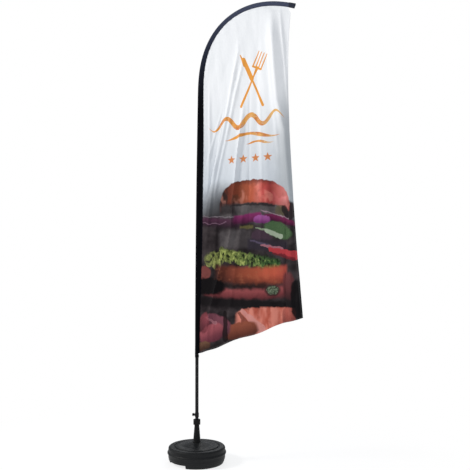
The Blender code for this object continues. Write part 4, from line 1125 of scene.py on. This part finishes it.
def layCloth(name, columns, rows):
    # a flat grid of that many squares; gives back each point's share across and along it
    deselectAll()
    bpy.ops.mesh.primitive_grid_add(x_subdivisions=columns, y_subdivisions=rows, size=1.0)
    piece = bpy.context.object
    piece.name = name
    places = np.zeros(len(piece.data.vertices) * 3, np.float32)
    piece.data.vertices.foreach_get("co", places)
    places = places.reshape(-1, 3).astype(float)
    return piece, places[:, 0] + 0.5, places[:, 1] + 0.5


def shapeCloth(piece, places, clothPlaces):
    movePoints(piece, places)
    while piece.data.uv_layers:
        piece.data.uv_layers.remove(piece.data.uv_layers[0])
    layer = piece.data.uv_layers.new(name="clothMap")
    corners = np.zeros(len(piece.data.loops), np.int32)
    piece.data.loops.foreach_get("vertex_index", corners)
    layer.data.foreach_set("uv", np.ascontiguousarray(clothPlaces[corners], np.float32).ravel())
    piece.data.update()
    return piece


def thicken(piece, thickness, offset=0.0, backSlot=0):
    pick(piece)
    wall = piece.modifiers.new("clothWall", "SOLIDIFY")
    wall.thickness = thickness
    wall.offset = offset
    wall.material_offset = backSlot
    wall.use_even_offset = False
    bpy.ops.object.modifier_apply(modifier=wall.name)
    return piece


panel = {
    "top": 3.535,  # distance along the mast where the panel ends
    "footWidth": 0.801,
    "topReach": 0.022,
    "topDrop": 0.043,
    "bow": 0.030,
    "topBow": 0.018,
    "columns": 104,
    "rows": 400,
    "cloth": 0.0005,
    "hem": 0.014,
    "hemCloth": 0.0017,
}

# each fold: its line as (height, x) from low to high, its width, and how far it stands forward
folds = [
    dict(line=[(1.05, 0.735), (1.60, 0.735), (1.95, 0.730), (2.45, 0.690), (2.67, 0.640), (3.26, 0.590)],
         width=0.042, rise=0.042),
    dict(line=[(2.72, 0.705), (3.00, 0.684), (3.30, 0.655)], width=0.012, rise=0.008),
    dict(line=[(2.30, 0.640), (2.70, 0.600), (3.10, 0.560)], width=0.014, rise=0.007),
    dict(line=[(1.50, 0.040), (1.96, 0.080), (2.38, 0.105), (2.75, 0.100)], width=0.011, rise=0.010),
    dict(line=[(1.60, 0.070), (1.88, 0.100), (2.20, 0.150), (2.40, 0.200), (2.75, 0.270), (3.05, 0.33)],
         width=0.014, rise=0.014),
    dict(line=[(2.00, 0.145), (2.20, 0.185), (2.45, 0.245), (2.72, 0.305), (2.98, 0.37)], width=0.012,
         rise=0.011),
    dict(line=[(1.02, 0.085), (1.16, 0.120), (1.42, 0.190), (1.55, 0.240), (1.72, 0.280), (1.98, 0.300),
               (2.25, 0.325), (2.60, 0.370)], width=0.016, rise=0.027),
    dict(line=[(0.98, 0.245), (1.30, 0.290), (1.66, 0.345), (1.95, 0.385)], width=0.016, rise=0.009),
    dict(line=[(0.95, 0.130), (1.30, 0.150), (1.60, 0.150), (1.90, 0.165)], width=0.010, rise=0.007),
    dict(line=[(1.70, 0.415), (2.10, 0.418), (2.75, 0.418)], width=0.008, rise=-0.005),
    dict(line=[(1.50, 0.500), (2.10, 0.520), (2.75, 0.500)], width=0.014, rise=0.006),
    dict(line=[(1.06, 0.690), (1.70, 0.695), (1.92, 0.698)], width=0.009, rise=-0.010),
    dict(line=[(1.02, 0.560), (1.60, 0.560), (2.40, 0.545), (3.10, 0.520)], width=0.060, rise=0.012),
    dict(line=[(1.05, 0.790), (1.60, 0.785), (2.10, 0.770), (2.50, 0.745)], width=0.016, rise=0.014),
    dict(line=[(2.35, 0.480), (2.80, 0.475), (3.20, 0.490)], width=0.030, rise=-0.006),
    dict(line=[(1.75, 0.050), (2.05, 0.112), (2.35, 0.172), (2.60, 0.215)], width=0.008, rise=0.009),
    dict(line=[(2.15, 0.062), (2.40, 0.130), (2.62, 0.200)], width=0.007, rise=0.008),
    dict(line=[(1.90, 0.062), (2.15, 0.122), (2.45, 0.182)], width=0.007, rise=-0.006),
]


def foldDepth(x, z, fromSeam, aboveHem):
    # how far a point of the panel stands forward, before the seam holds it flat
    depth = np.zeros_like(x)
    for fold in folds:
        heights = [point[0] for point in fold["line"]]
        centre = np.interp(z, heights, [point[1] for point in fold["line"]])
        ends = smoothstep((z - heights[0] + 0.16) / 0.24) * smoothstep((heights[-1] + 0.16 - z) / 0.34)
        away = (x - centre) / fold["width"]
        depth += fold["rise"] * ends / (1 + away**2) ** 1.5
    sway = 0.010 * np.sin(9.0 * x - 1.3 * z + 0.6) * smoothstep((3.3 - z) / 1.2)
    flutter = 0.010 * np.sin(x * 34.0 + 0.7 * np.sin(x * 11.0)) * np.exp(-aboveHem / 0.10)
    small = 0.0016 * np.sin(31 * x + 5.2 * z) * np.sin(9.7 * z - 13 * x + 1.1)
    small += 0.0010 * np.sin(67 * x - 6.5 * z + 2.0) * np.sin(17 * z + 9 * x)
    held = smoothstep(fromSeam / 0.075)
    puckers = 0.0016 * np.sin(z * 165.0 + 3 * np.sin(z * 23.0)) * np.exp(-fromSeam / 0.022)
    puckers = puckers * smoothstep(fromSeam / 0.006)
    return (depth + sway + flutter) * held + small * smoothstep(fromSeam / 0.03) + puckers


def panelPlaces(across, along, tuck=0.0):
    # across runs from the seam (0) to the free edge (1), along from the foot (0) to the top (1)
    distance = sleeve["foot"] + (panel["top"] - sleeve["foot"]) * along
    seam = seamPoint(distance)
    ends = seamPoint(np.array([sleeve["foot"], panel["top"]]))
    corner = ends[0] + panel["footWidth"] * np.array([1.0, sleeve["hemSlope"]])
    top = ends[1] + np.array([panel["topReach"], -panel["topDrop"]])
    bow = panel["bow"] * np.sin(math.pi * along) + panel["topBow"] * np.sin(math.pi * along**3)
    edge = corner + (top - corner) * along[..., None]
    edge[..., 0] -= bow
    run = edge - seam
    width = np.linalg.norm(run, axis=-1)
    seamSide = (across * width - tuck * (1 - across)) / np.maximum(width, 1e-6)
    flat = seam + run * seamSide[..., None]
    foot = seamPoint(np.full_like(across, sleeve["foot"]))
    aboveHem = np.maximum(0.0, flat[..., 1] - (foot[..., 1] + (flat[..., 0] - foot[...,
        0]) * sleeve["hemSlope"]))
    fromSeam = np.maximum(0.0, across * width)
    depth = foldDepth(flat[..., 0], flat[..., 1], fromSeam, aboveHem)
    # the foot's line waves a little, and turns down where it meets the sleeve
    wave = 0.0065 * np.sin(flat[..., 0] * 19.0 + 1.9) * smoothstep(fromSeam / 0.15)
    turnDown = -0.006 * np.exp(-fromSeam / 0.050) * smoothstep(fromSeam / 0.030)
    sag = (wave + turnDown) * np.exp(-aboveHem / 0.07)
    places = np.stack([flat[..., 0], -depth, flat[..., 1] + sag], -1)
    return places, flat, width


def makePanel(materials):
    piece, across, along = layCloth("printedPanel", panel["columns"], panel["rows"])
    places, flat, _ = panelPlaces(across, along, tuck=0.004)
    shapeCloth(piece, places, flat)
    openForEdit(piece)
    closeEdit(piece)
    faceForward(piece)
    thicken(piece, panel["cloth"], backSlot=1)
    smoothShade(piece, 60)
    finishPiece(piece, "mast", [materials["panelFront"], materials["panelBack"]], "panel_cloth",
                "flag_panel")

    # hems are folded strips sewn over the foot and the free edge
    hems = []
    for name, columns, rows in (("freeEdgeHem", 4, 400), ("footHem", 104, 4)):
        hem, u, v = layCloth(name, columns, rows)
        width = panelPlaces(u, v)[2]
        if name == "freeEdgeHem":
            u = 1 - (1 - u) * np.minimum(panel["hem"] / width, 0.9)
        else:
            v = v * panel["hem"] / 3.05
            u = 0.02 + 0.98 * u
        hemPlaces, hemFlat, _ = panelPlaces(u, v)
        shapeCloth(hem, hemPlaces, hemFlat)
        faceForward(hem)
        thicken(hem, panel["hemCloth"], backSlot=1)
        soften(hem, 0.0004, 1, 60)
        smoothShade(hem, 45)
        finishPiece(hem, "mast", [materials["hemFront"], materials["hemBack"]], "panel_cloth")
        hems.append(hem)
    return piece, hems


def faceForward(piece):
    # the printed front faces -Y
    total = sum((face.normal.y * face.area for face in piece.data.polygons))
    if total > 0:
        turnFacesOver(piece)


def pocketSection(share, radius, seam, half):
    # once round the drop-shaped pocket: flat side, arc round the mast, flat side back to the seam
    tangent = np.arccos(np.clip((radius - half) / seam, -0.95, 0.95))
    side = np.clip(share / 0.27, 0, 1)
    turn = np.clip((share - 0.27) / 0.46, 0, 1)
    back = np.clip((share - 0.73) / 0.27, 0, 1)
    angle = -tangent - (2 * math.pi - 2 * tangent) * turn
    arcX, arcY = radius * np.cos(angle), radius * np.sin(angle)
    startX, startY = radius * np.cos(tangent), radius * np.sin(tangent)
    inward = np.where(share < 0.27, seam + (startX - seam) * side,
                      np.where(share > 0.73, startX + (seam - startX) * back, arcX))
    sideways = np.where(share < 0.27, -half + (-startY + half) * side,
                        np.where(share > 0.73, startY + (half - startY) * back, arcY))
    return inward, sideways


def pocketWrinkles(distance, share, size):
    # puckers beside the seam, cross creases where the mast bends, and slack at the foot
    nearSeam = np.exp(-np.minimum(share, 1 - share) / 0.07)
    sides = np.exp(-((np.minimum(share, 1 - share) - 0.20) / 0.12) ** 2)
    pucker = 0.0007 * np.sin(distance * 260 + 2.5 * np.sin(distance * 31)) * nearSeam
    bending = smoothstep((distance - 2.35) / 0.4)
    crease = 0.0011 * bending * np.sin(distance * 120 + share * 9 + 1.7 * np.sin(distance * 19)) * sides
    slack = 0.0010 * np.sin(distance * 47 + share * 17 + np.sin(distance * 13)) * sides
    foot = 0.0012 * np.exp(-(distance - sleeve["foot"]) / 0.05) * np.sin(share * 2 * math.pi * 11)
    return (pucker + crease + slack + foot) * size


def makeSleeve(materials):
    piece, share, along = layCloth("poleSleeve", 48, 780)
    distance = sleeve["foot"] + (mast["length"] - sleeve["foot"]) * along
    radius = sleeveRadius(distance)
    seam = sleeveWidth(distance) - radius
    inward, sideways = pocketSection(share, radius - 0.0004, seam, sleeve["seamHalf"] - 0.0004)
    bulge = 1 + pocketWrinkles(distance, share, 1.0) / 0.013
    fade = 1 - smoothstep((distance - sleeve["foot"]) / 0.15)
    lifted = distance + sleeve["hemSlope"] * fade * (inward + sleeve["radius"])
    seamSide = np.minimum(share, 1 - share) < 1e-4
    sideways = np.where(seamSide, sideways, sideways * bulge)
    inward = np.where(inward < 0, inward * bulge, inward)
    places = placeOnMast(lifted, inward, sideways)
    around = np.minimum(share, 1 - share) * 0.13
    cloth = np.stack([around, distance], -1)
    shapeCloth(piece, places, cloth)
    openForEdit(piece)
    closeEdit(piece)
    faceOutwards(piece)
    thicken(piece, sleeve["cloth"], offset=-1.0)
    smoothShade(piece, 50)
    return finishPiece(piece, "mast", materials["sleeveCloth"], "sleeve_cloth", "flag_sleeve")


def faceOutwards(piece):
    # an open tube's faces look away from the mast's line
    mesh = piece.data
    score = 0.0
    for face in mesh.polygons:
        if face.center.z < 2.2 and face.center.x < 0.03:
            score += (face.normal.x * (face.center.x - 0.012) + face.normal.y * face.center.y) * face.area
    if score < 0:
        turnFacesOver(piece)


tipPocket = {"grow": 0.0014, "columns": 48, "rows": 36, "cloth": 0.0009, "closing": 0.017}
band = {"radius": 0.0139, "low": 0.4504, "high": 0.4696}


def makeTipPocket(materials):
    # double cloth sewn over the sleeve's end, bunched and closed at its tip
    piece, share, along = layCloth("tipPocket", tipPocket["columns"], tipPocket["rows"])
    start = mast["length"] - sleeve["pocketLength"]
    distance = start + (mast["length"] + 0.0022 - start) * np.minimum(along / 0.8, 1.0)
    closing = np.clip((along - 0.8) / 0.2, 0, 1)
    radius = sleeveRadius(distance) + tipPocket["grow"]
    seam = sleeveWidth(distance) - sleeveRadius(distance) + tipPocket["grow"] * 0.7
    inward, sideways = pocketSection(share, radius, seam, sleeve["seamHalf"] + tipPocket["grow"] * 0.8)
    gather = 0.0007 * np.sin(share * 2 * math.pi * 9 + distance * 60) * (0.4 + 0.6 * smoothstep(along / 0.8))
    sideways = sideways * (1 + gather / 0.008)
    middle = seam * 0.3
    inward = middle + (inward - middle) * (1 - closing) + gather * 0.6
    sideways = sideways * (1 - closing)
    places = placeOnMast(distance, inward, sideways)
    shapeCloth(piece, places, np.stack([np.minimum(share, 1 - share) * 0.09, distance - start], -1))
    joinSeam(piece)
    thicken(piece, tipPocket["cloth"], offset=-1.0)
    smoothShade(piece, 50)
    return finishPiece(piece, "mast", materials["pocketCloth"], "sleeve_cloth", "tip_pocket")


def makeBand(materials):
    # ribbed elastic that closes the sleeve's foot round the tube, with a sewn overlap
    low, high = band["low"], band["high"]
    piece, share, along = layCloth("sleeveBand", 96, 20)
    distance = low + (high - low) * along
    rib = 0.00018 * np.cos(along * 2 * math.pi * 7)
    overlap = 0.0006 * smoothstep((np.cos((share - 0.25) * 2 * math.pi) - 0.86) / 0.06)
    radius = band["radius"] + rib + overlap
    angle = share * 2 * math.pi
    places = placeOnMast(distance, radius * np.cos(angle), radius * np.sin(angle))
    shapeCloth(piece, places, np.stack([share * 0.087, distance], -1))
    joinSeam(piece)
    thicken(piece, 0.0009, offset=-1.0)
    smoothShade(piece, 45)
    return finishPiece(piece, "mast", materials["bandElastic"], "sleeve_cloth", "sleeve_band")


def makeLowerTube(materials):
    # aluminium tube with rolled ends; it leans with the mast
    radius, wall, end = mast["poleRadius"], mast["poleWall"], 0.0006
    rings = [(radius - wall, 0.0006), (radius - wall + end, 0.0), (radius - end, 0.0), (radius, end)]
    rings += [(radius, height) for height in np.linspace(0.10, mast["lowerLength"] - 0.10, 12)]
    rings += [(radius, mast["lowerLength"] - end), (radius - end, mast["lowerLength"]),
              (radius - wall + end, mast["lowerLength"]), (radius - wall, mast["lowerLength"] - end)]
    rings += [(radius - wall, height) for height in np.linspace(mast["lowerLength"] - 0.10, 0.10, 12)]
    piece = turnPiece("lowerTube", rings, 64, joined=True)
    places = np.array([v.co for v in piece.data.vertices])
    movePoints(piece, placeOnMast(places[:, 2], places[:, 0], places[:, 1]))
    smoothShade(piece)
    return finishPiece(piece, "mast", materials["tubeCoat"], "pole_black", "pole_lower")


clamp = {"low": 0.336, "high": 0.366, "bore": 0.0128, "radius": 0.0155, "screwHeight": 0.351,
         "bossRadius": 0.0080,
         "bossEnd": 0.0222, "knobStart": 0.0228, "knobEnd": 0.0343, "knobRadius": 0.0112}


def makeClamp(materials):
    low, high, radius = clamp["low"], clamp["high"], clamp["radius"]
    rings = [(clamp["bore"], low), (radius - 0.0012, low), (radius, low + 0.0012), (radius, low + 0.0045),
             (radius - 0.0006, low + 0.0052), (radius - 0.0006, high - 0.0052), (radius, high - 0.0045),
             (radius, high - 0.0012), (radius - 0.0012, high), (clamp["bore"], high)]
    piece = turnPiece("poleClamp", rings, 72, joined=True)
    boss = turnPiece("boss", [(clamp["bossRadius"] + 0.0008, 0.0136), (clamp["bossRadius"] + 0.0004, 0.0165),
                              (clamp["bossRadius"], 0.0180), (clamp["bossRadius"],
                                                              clamp["bossEnd"] - 0.0006),
                              (clamp["bossRadius"] - 0.0006, clamp["bossEnd"])], 48)
    carve(piece, lieAlong(boss, -math.pi / 2, 1, clamp["screwHeight"]), "UNION")
    hole = turnPiece("hole", [(0.0048, 0.0090), (0.0048, 0.0280)], 32)
    carve(piece, lieAlong(hole, -math.pi / 2, 1, clamp["screwHeight"]))
    smoothShade(piece, 34)
    return finishPiece(piece, "mast", materials["neckPlastic"], "hard_plastic", "pole_clamp")


def makeKnob(materials):
    start, end, radius = clamp["knobStart"], clamp["knobEnd"], clamp["knobRadius"]
    rings = [(0.0033, start), (radius * 0.55, start), (radius * 0.62, start + 0.0016), (radius * 0.66,
        start + 0.0022),
             (radius - 0.0014, start + 0.0025), (radius - 0.0004, start + 0.0030), (radius, start + 0.0040),
             (radius, end - 0.0016), (radius - 0.0005, end - 0.0006), (radius - 0.0016, end),
             (radius * 0.45, end), (radius * 0.42, end - 0.0006), (0.0006, end - 0.0006), (0.0006,
                 end - 0.0029),
             (0.0033, end - 0.0029)]
    piece = turnPiece("screwKnob", rings, 96, joined=True)
    pressFlutes(piece, 6, 0.5, 0.0016, start + 0.0030, end - 0.0006, 0.0005)
    soften(piece, 0.0003, 2, 28)
    lieAlong(piece, -math.pi / 2, 1, clamp["screwHeight"])
    smoothShade(piece)
    return finishPiece(piece, "thumbscrew", materials["gripPlastic"], "hard_plastic", "thumbscrew_knob")


tank = {
    "footRadius": 0.1995,
    "wall": 0.003,
    "notchTurn": math.radians(237.0),
    "notchHalf": math.radians(32.0),
    "notchHeight": 0.024,
    "notchDepth": 0.056,
    "filler": (-0.04446, 0.12216),
    "fillerBore": 0.0125,
    "fillerMouth": 0.135,
}


def tankRings():
    # half section from the foot up the side, over the rim and groove, up the dome and down the well
    rings = [(0.150, 0.0026), (0.158, 0.0004), (0.162, 0.0), (tank["footRadius"] - 0.0015, 0.0),
             (tank["footRadius"], 0.0016), (0.2010, 0.006)]
    for height in (0.018, 0.030, 0.042):  # pressed ribs round the side
        side = float(np.interp(height, [0.0, 0.034, 0.058], [0.1995, 0.2105, 0.2135]))
        rings += [(side - 0.0006, height - 0.0036), (side + 0.0003, height - 0.0018), (side + 0.0009,
            height),
                  (side + 0.0008, height + 0.0018), (side + 0.0004, height + 0.0036)]
    rings += [(0.2130, 0.0560), (0.2135, 0.0640), (0.2150, 0.0675), (0.2178, 0.0698), (0.2191, 0.0712),
              (0.2195, 0.0730), (0.2195, 0.0752), (0.2190, 0.0757), (0.2190, 0.0763), (0.2195, 0.0768),
              (0.2195, 0.0792), (0.2190, 0.0807), (0.2172, 0.0825), (0.2146, 0.0852), (0.2135, 0.0880),
              (0.2130, 0.0960)]
    for step in range(9):
        angle = math.radians(11.25 * step)
        rings.append((0.1965 + 0.0160 * math.cos(angle), 0.1060 + 0.0160 * math.sin(angle)))
    rings += [(0.1850, 0.1220), (0.1740, 0.1220), (0.1722, 0.1217), (0.1708, 0.1208), (0.1694, 0.1180),
              (0.1680, 0.1162), (0.1664, 0.1155), (0.1636, 0.1155), (0.1620, 0.1163), (0.1606, 0.1195),
              (0.1592, 0.1225), (0.1575, 0.1238), (0.1545, 0.1244), (0.1400, 0.1247), (0.1380, 0.1253),
              (0.1350, 0.1253), (0.1330, 0.1247), (0.1120, 0.1249), (0.1080, 0.1251), (0.1040, 0.1257),
              (0.0980, 0.1277), (0.0700, 0.1376), (0.0460, 0.1458), (0.0415, 0.1474), (0.0390, 0.1486),
              (0.0362, 0.1490), (0.0262, 0.1490), (0.0245, 0.1484), (0.0240, 0.1476), (0.0240, 0.1220),
              (0.0163, 0.1220), (0.0163, 0.0042)]
    return rings


def notchBlock(turn, grow):
    # a wedge of the ring, cut out of a turned ring by two bisecting planes
    inner = tank["footRadius"] - tank["notchDepth"] - grow
    roof = tank["notchHeight"] + grow
    rings = [(inner, -0.01), (0.25, -0.01), (0.25, roof), (inner + 0.006, roof), (inner, roof - 0.006)]
    block = turnPiece("notchBlock", rings, 96, joined=True)
    half = tank["notchHalf"] + grow / inner
    openForEdit(block)
    for side in (-1, 1):
        edge = turn + side * half
        bpy.ops.mesh.select_all(action="SELECT")
        normal = (-math.sin(edge) * side, math.cos(edge) * side, 0)
        bpy.ops.mesh.bisect(plane_co=(0, 0, 0), plane_no=normal, use_fill=True, clear_outer=True)
    return closeEdit(block)


def makeTank(materials):
    piece = turnPiece("waterTank", tankRings(), 144)
    for turn in (tank["notchTurn"], tank["notchTurn"] - math.pi):
        carve(piece, notchBlock(turn, 0.0))
    boss = turnPiece("boss", [(0.0155, 0.1230), (0.0155, tank["fillerMouth"] - 0.0008),
                              (0.0147, tank["fillerMouth"])], 64, axis=tank["filler"])
    carve(piece, boss, "UNION")
    void = turnPiece("void", [(0.0193, 0.003), (0.1955, 0.003), (0.2080, 0.036), (0.2100, 0.064),
                              (0.2145, 0.0735),
                              (0.2145, 0.0785), (0.2100, 0.089), (0.2092, 0.107), (0.2040, 0.1160),
                              (0.1955, 0.1190), (0.1745, 0.1190), (0.1680, 0.1125), (0.1625, 0.1125),
                              (0.1560, 0.1205), (0.1070, 0.1218), (0.0270, 0.1455), (0.0270, 0.1190),
                              (0.0193, 0.1190)], 96, joined=True)
    for turn in (tank["notchTurn"], tank["notchTurn"] - math.pi):
        carve(void, notchBlock(turn, tank["wall"]))
    carve(piece, void)
    bore = turnPiece("bore", [(tank["fillerBore"], 0.110), (tank["fillerBore"], 0.145)], 64,
                     axis=tank["filler"])
    carve(piece, bore)
    smoothShade(piece, 30)
    return finishPiece(piece, "base", materials["tankPlastic"], "base_plastic", "base_tank")


neckThread = {"radius": 0.0165, "low": 0.2785, "high": 0.3100, "pitch": 0.0030, "depth": 0.0010}


def makeNeck(materials):
    radius, low, high, pitch = (neckThread[key] for key in ("radius", "low", "high", "pitch"))
    rings = [(0.0205, 0.1223), (0.0232, 0.1223), (0.0237, 0.1228), (0.0237, 0.1511), (0.0306, 0.1511),
             (0.0310, 0.1515), (0.0310, 0.1530), (0.0306, 0.1537), (0.0298, 0.1541), (0.0288, 0.1545),
             (0.0280, 0.1556), (0.0275, 0.1580), (0.0178, 0.2745), (0.0176, 0.2764), (0.0172, 0.2775),
             (radius, 0.2775)]
    rings += [(radius, height) for height in np.arange(low, high, pitch / 8)]
    rings += [(0.0158, 0.3105), (0.0135, 0.3105), (0.0135, 0.2725), (0.0205, 0.1961)]
    piece = turnPiece("baseNeck", rings, 96, joined=True)
    places = np.array([v.co for v in piece.data.vertices])
    reach = np.hypot(places[:, 0], places[:, 1])
    heights = places[:, 2]
    onThread = (abs(reach - radius) < 1e-5) & (heights > low - 1e-4) & (heights < high + 1e-4)
    wave = np.mod(heights / pitch - np.arctan2(places[:, 1], places[:, 0]) / (2 * math.pi), 1.0)
    cut = neckThread["depth"] * np.clip(1.7 - 3.4 * abs(wave - 0.5), 0, 1)
    share = np.where(onThread, (radius - cut) / np.maximum(reach, 1e-9), 1.0)
    places[:, :2] *= share[:, None]
    movePoints(piece, places)
    smoothShade(piece, 30)
    return finishPiece(piece, "base", materials["neckPlastic"], "hard_plastic", "base_neck")


def makeCollar(materials):
    rings = [(0.0168, 0.2795), (0.0253, 0.2795), (0.0262, 0.2800), (0.0265, 0.2808), (0.0265, 0.2828),
             (0.0258, 0.2834), (0.0258, 0.2840), (0.0265, 0.2846), (0.0265, 0.3146), (0.0262, 0.3164),
             (0.0252, 0.3180), (0.0235, 0.3190), (0.0190, 0.3190), (0.0180, 0.3184), (0.0150, 0.3184),
             (0.0144, 0.3190), (0.0136, 0.3190), (0.0130, 0.3186), (0.0130, 0.3156), (0.0168, 0.3156)]
    piece = turnPiece("collarNut", rings, 144, joined=True)
    pressFlutes(piece, 24, 0.45, 0.0010, 0.2846, 0.3146, 0.0004)
    soften(piece, 0.00025, 2, 28)
    smoothShade(piece)
    return finishPiece(piece, "collar_nut", materials["gripPlastic"], "hard_plastic", "collar_nut")


def makeFillerCap(materials):
    x, y = tank["filler"]
    rings = [(0.0158, 0.1260), (0.0184, 0.1260), (0.0190, 0.1266), (0.0190, 0.1282), (0.0186, 0.1286),
             (0.0190, 0.1290), (0.0190, 0.1396), (0.0186, 0.1405), (0.0175, 0.1410), (0.0122, 0.1410),
             (0.0114, 0.1406), (0.0106, 0.1398), (0.0004, 0.1398), (0.0004, 0.1370), (0.0158, 0.1370)]
    piece = turnPiece("fillerCap", rings, 96, joined=True, axis=(x, y))
    pressFlutes(piece, 24, 0.5, 0.0007, 0.1290, 0.1396, 0.0004, axis=(x, y))
    soften(piece, 0.0002, 2, 28)
    smoothShade(piece)
    return finishPiece(piece, "filler_cap", materials["gripPlastic"], "hard_plastic", "filler_cap")


innerNodes = {
    "ballast_water": "water", "neck_seal": "blackRubber", "filler_gasket": "blackRubber",
    "lower_bush": "nylonWhite", "upper_bush": "nylonWhite", "collar_washer": "nylonWhite",
    "clamp_pad": "nylonWhite", "pole_tip_cap": "gripPlastic", "spindle": "blackenedSteel",
    "spindle_clip": "blackenedSteel", "thumbscrew_stud": "zincSteel", "clamp_insert": "insertBrass",
    "joint_rod": "zincSteel", "pole_middle": "tubeCoat", "pole_reducer": "neckPlastic",
    "pole_top": "fibreglass",
}


def makeFloor():
    deselectAll()
    bpy.ops.mesh.primitive_plane_add(size=studio["floorSize"], location=(0, 0, 0))
    floor = bpy.context.object
    floor.name = "studioFloor"
    # near the object the floor takes its shadow, and further out it glows as white as the sky
    material, tree, shader = startMaterial("paleFloor", Roughness=0.9, Specular_IOR_Level=0.0,
                                           Emission_Strength=1.0)
    place = objectPlace(tree)
    away = remap(tree, vectorCalc(tree, "LENGTH", place), 0.45, 2.2)
    cloud = noise(tree, place, 0.8, 2.0, 0.5)
    near = mixColour(tree, cloud, paint(150, 150, 150), paint(154, 154, 154))
    tree.links.new(mixColour(tree, away, near, (0, 0, 0, 1)), shader.inputs["Base Color"])
    tree.links.new(mixColour(tree, away, (0.775, 0.775, 0.775, 1), (1, 1, 1, 1)),
                   shader.inputs["Emission Color"])
    floor.data.materials.append(material)


def makeMaterials():
    groups = makeSurfaceGroups()
    materials = {name: makePlastic(name, groups, finish) for name, finish in plasticFinishes.items()}
    materials.update({name: makeMetal(name, groups, finish) for name, finish in metalFinishes.items()})
    materials["tubeCoat"] = makeTubeCoat(groups)
    materials["fibreglass"] = makeFibreglass(groups)
    materials["water"] = makeWater()
    materials["sleeveCloth"] = makeSleeveCloth("sleeveCloth", groups, sleeveFinish)
    materials["pocketCloth"] = makeSleeveCloth("pocketCloth", groups, pocketFinish)
    materials["bandElastic"] = makeSleeveCloth("bandElastic", groups, bandFinish)
    printAndShadeGroup = makePrintAndFoldShade(makeShapeGroups())
    materials["panelFront"] = makePanelCloth("panelFront", groups, printAndShadeGroup, 0.0)
    materials["panelBack"] = makePanelCloth("panelBack", groups, printAndShadeGroup, 0.10)
    materials["hemFront"] = makePanelCloth("hemFront", groups, printAndShadeGroup, 0.02)
    materials["hemBack"] = makePanelCloth("hemBack", groups, printAndShadeGroup, 0.12)
    return materials


def pocketGirth(distance, grow=0.0):
    # once round the drop-shaped pocket, from its width and its arc round the mast
    radius = sleeveRadius(distance) + grow
    seam = sleeveWidth(distance) - sleeveRadius(distance)
    side = np.sqrt(seam**2 - radius**2)
    return 2 * side + (2 * math.pi - 2 * np.arccos(radius / seam)) * radius


def strip(widths, places):
    # flat width, length and area of a strip whose width changes along it
    area = np.sum((widths[1:] + widths[:-1]) / 2 * np.diff(places))
    return (float(widths.max()), float(places[-1] - places[0])), float(area)


def declareCloth():
    # the panel's cut is its flat outline with the hems' turnings, and the others are strips round the mast
    up, down = np.linspace(0, 1, 400), np.linspace(1, 0, 400)
    outline = panelPlaces(np.repeat([0.0, 1.0], 400), np.concatenate([up, down]))[1]
    x, z = outline[:, 0], outline[:, 1]
    cutArea = float(abs(np.sum(x * np.roll(z, -1) - np.roll(x, -1) * z)) / 2)
    cut = (float(np.ptp(x)) + panel["hem"], float(np.ptp(z)) + panel["hem"])
    print("panel cut", cut, cutArea)

    steps = np.linspace(sleeve["foot"], mast["length"], 400)
    cut, cutArea = strip(pocketGirth(steps), steps)
    print("sleeve cut", cut, cutArea)

    steps = np.linspace(mast["length"] - sleeve["pocketLength"], mast["length"], 40)
    cut, cutArea = strip(pocketGirth(steps, tipPocket["grow"]), steps)
    closing = tipPocket["closing"]
    cut, cutArea = (cut[0], cut[1] + closing), cutArea + closing * cut[0] / 2
    print("tip pocket cut", cut, cutArea)

    cut = (2 * math.pi * band["radius"], band["high"] - band["low"])
    print("band cut", cut)


def main():
    setStudio()
    makeFloor()
    materials = makeMaterials()
    print("materials made")
    for name, materialName in innerNodes.items():
        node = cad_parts[name]
        node.data.materials.clear()
        node.data.materials.append(materials[materialName])
    makeTank(materials)
    makeNeck(materials)
    makeCollar(materials)
    makeFillerCap(materials)
    print("base made")
    makeLowerTube(materials)
    makeClamp(materials)
    makeKnob(materials)
    print("tubes and clamp made")
    panelPiece, hems = makePanel(materials)
    sleevePiece = makeSleeve(materials)
    pocketPiece = makeTipPocket(materials)
    bandPiece = makeBand(materials)
    declareCloth()
    print("cloth made")


main()
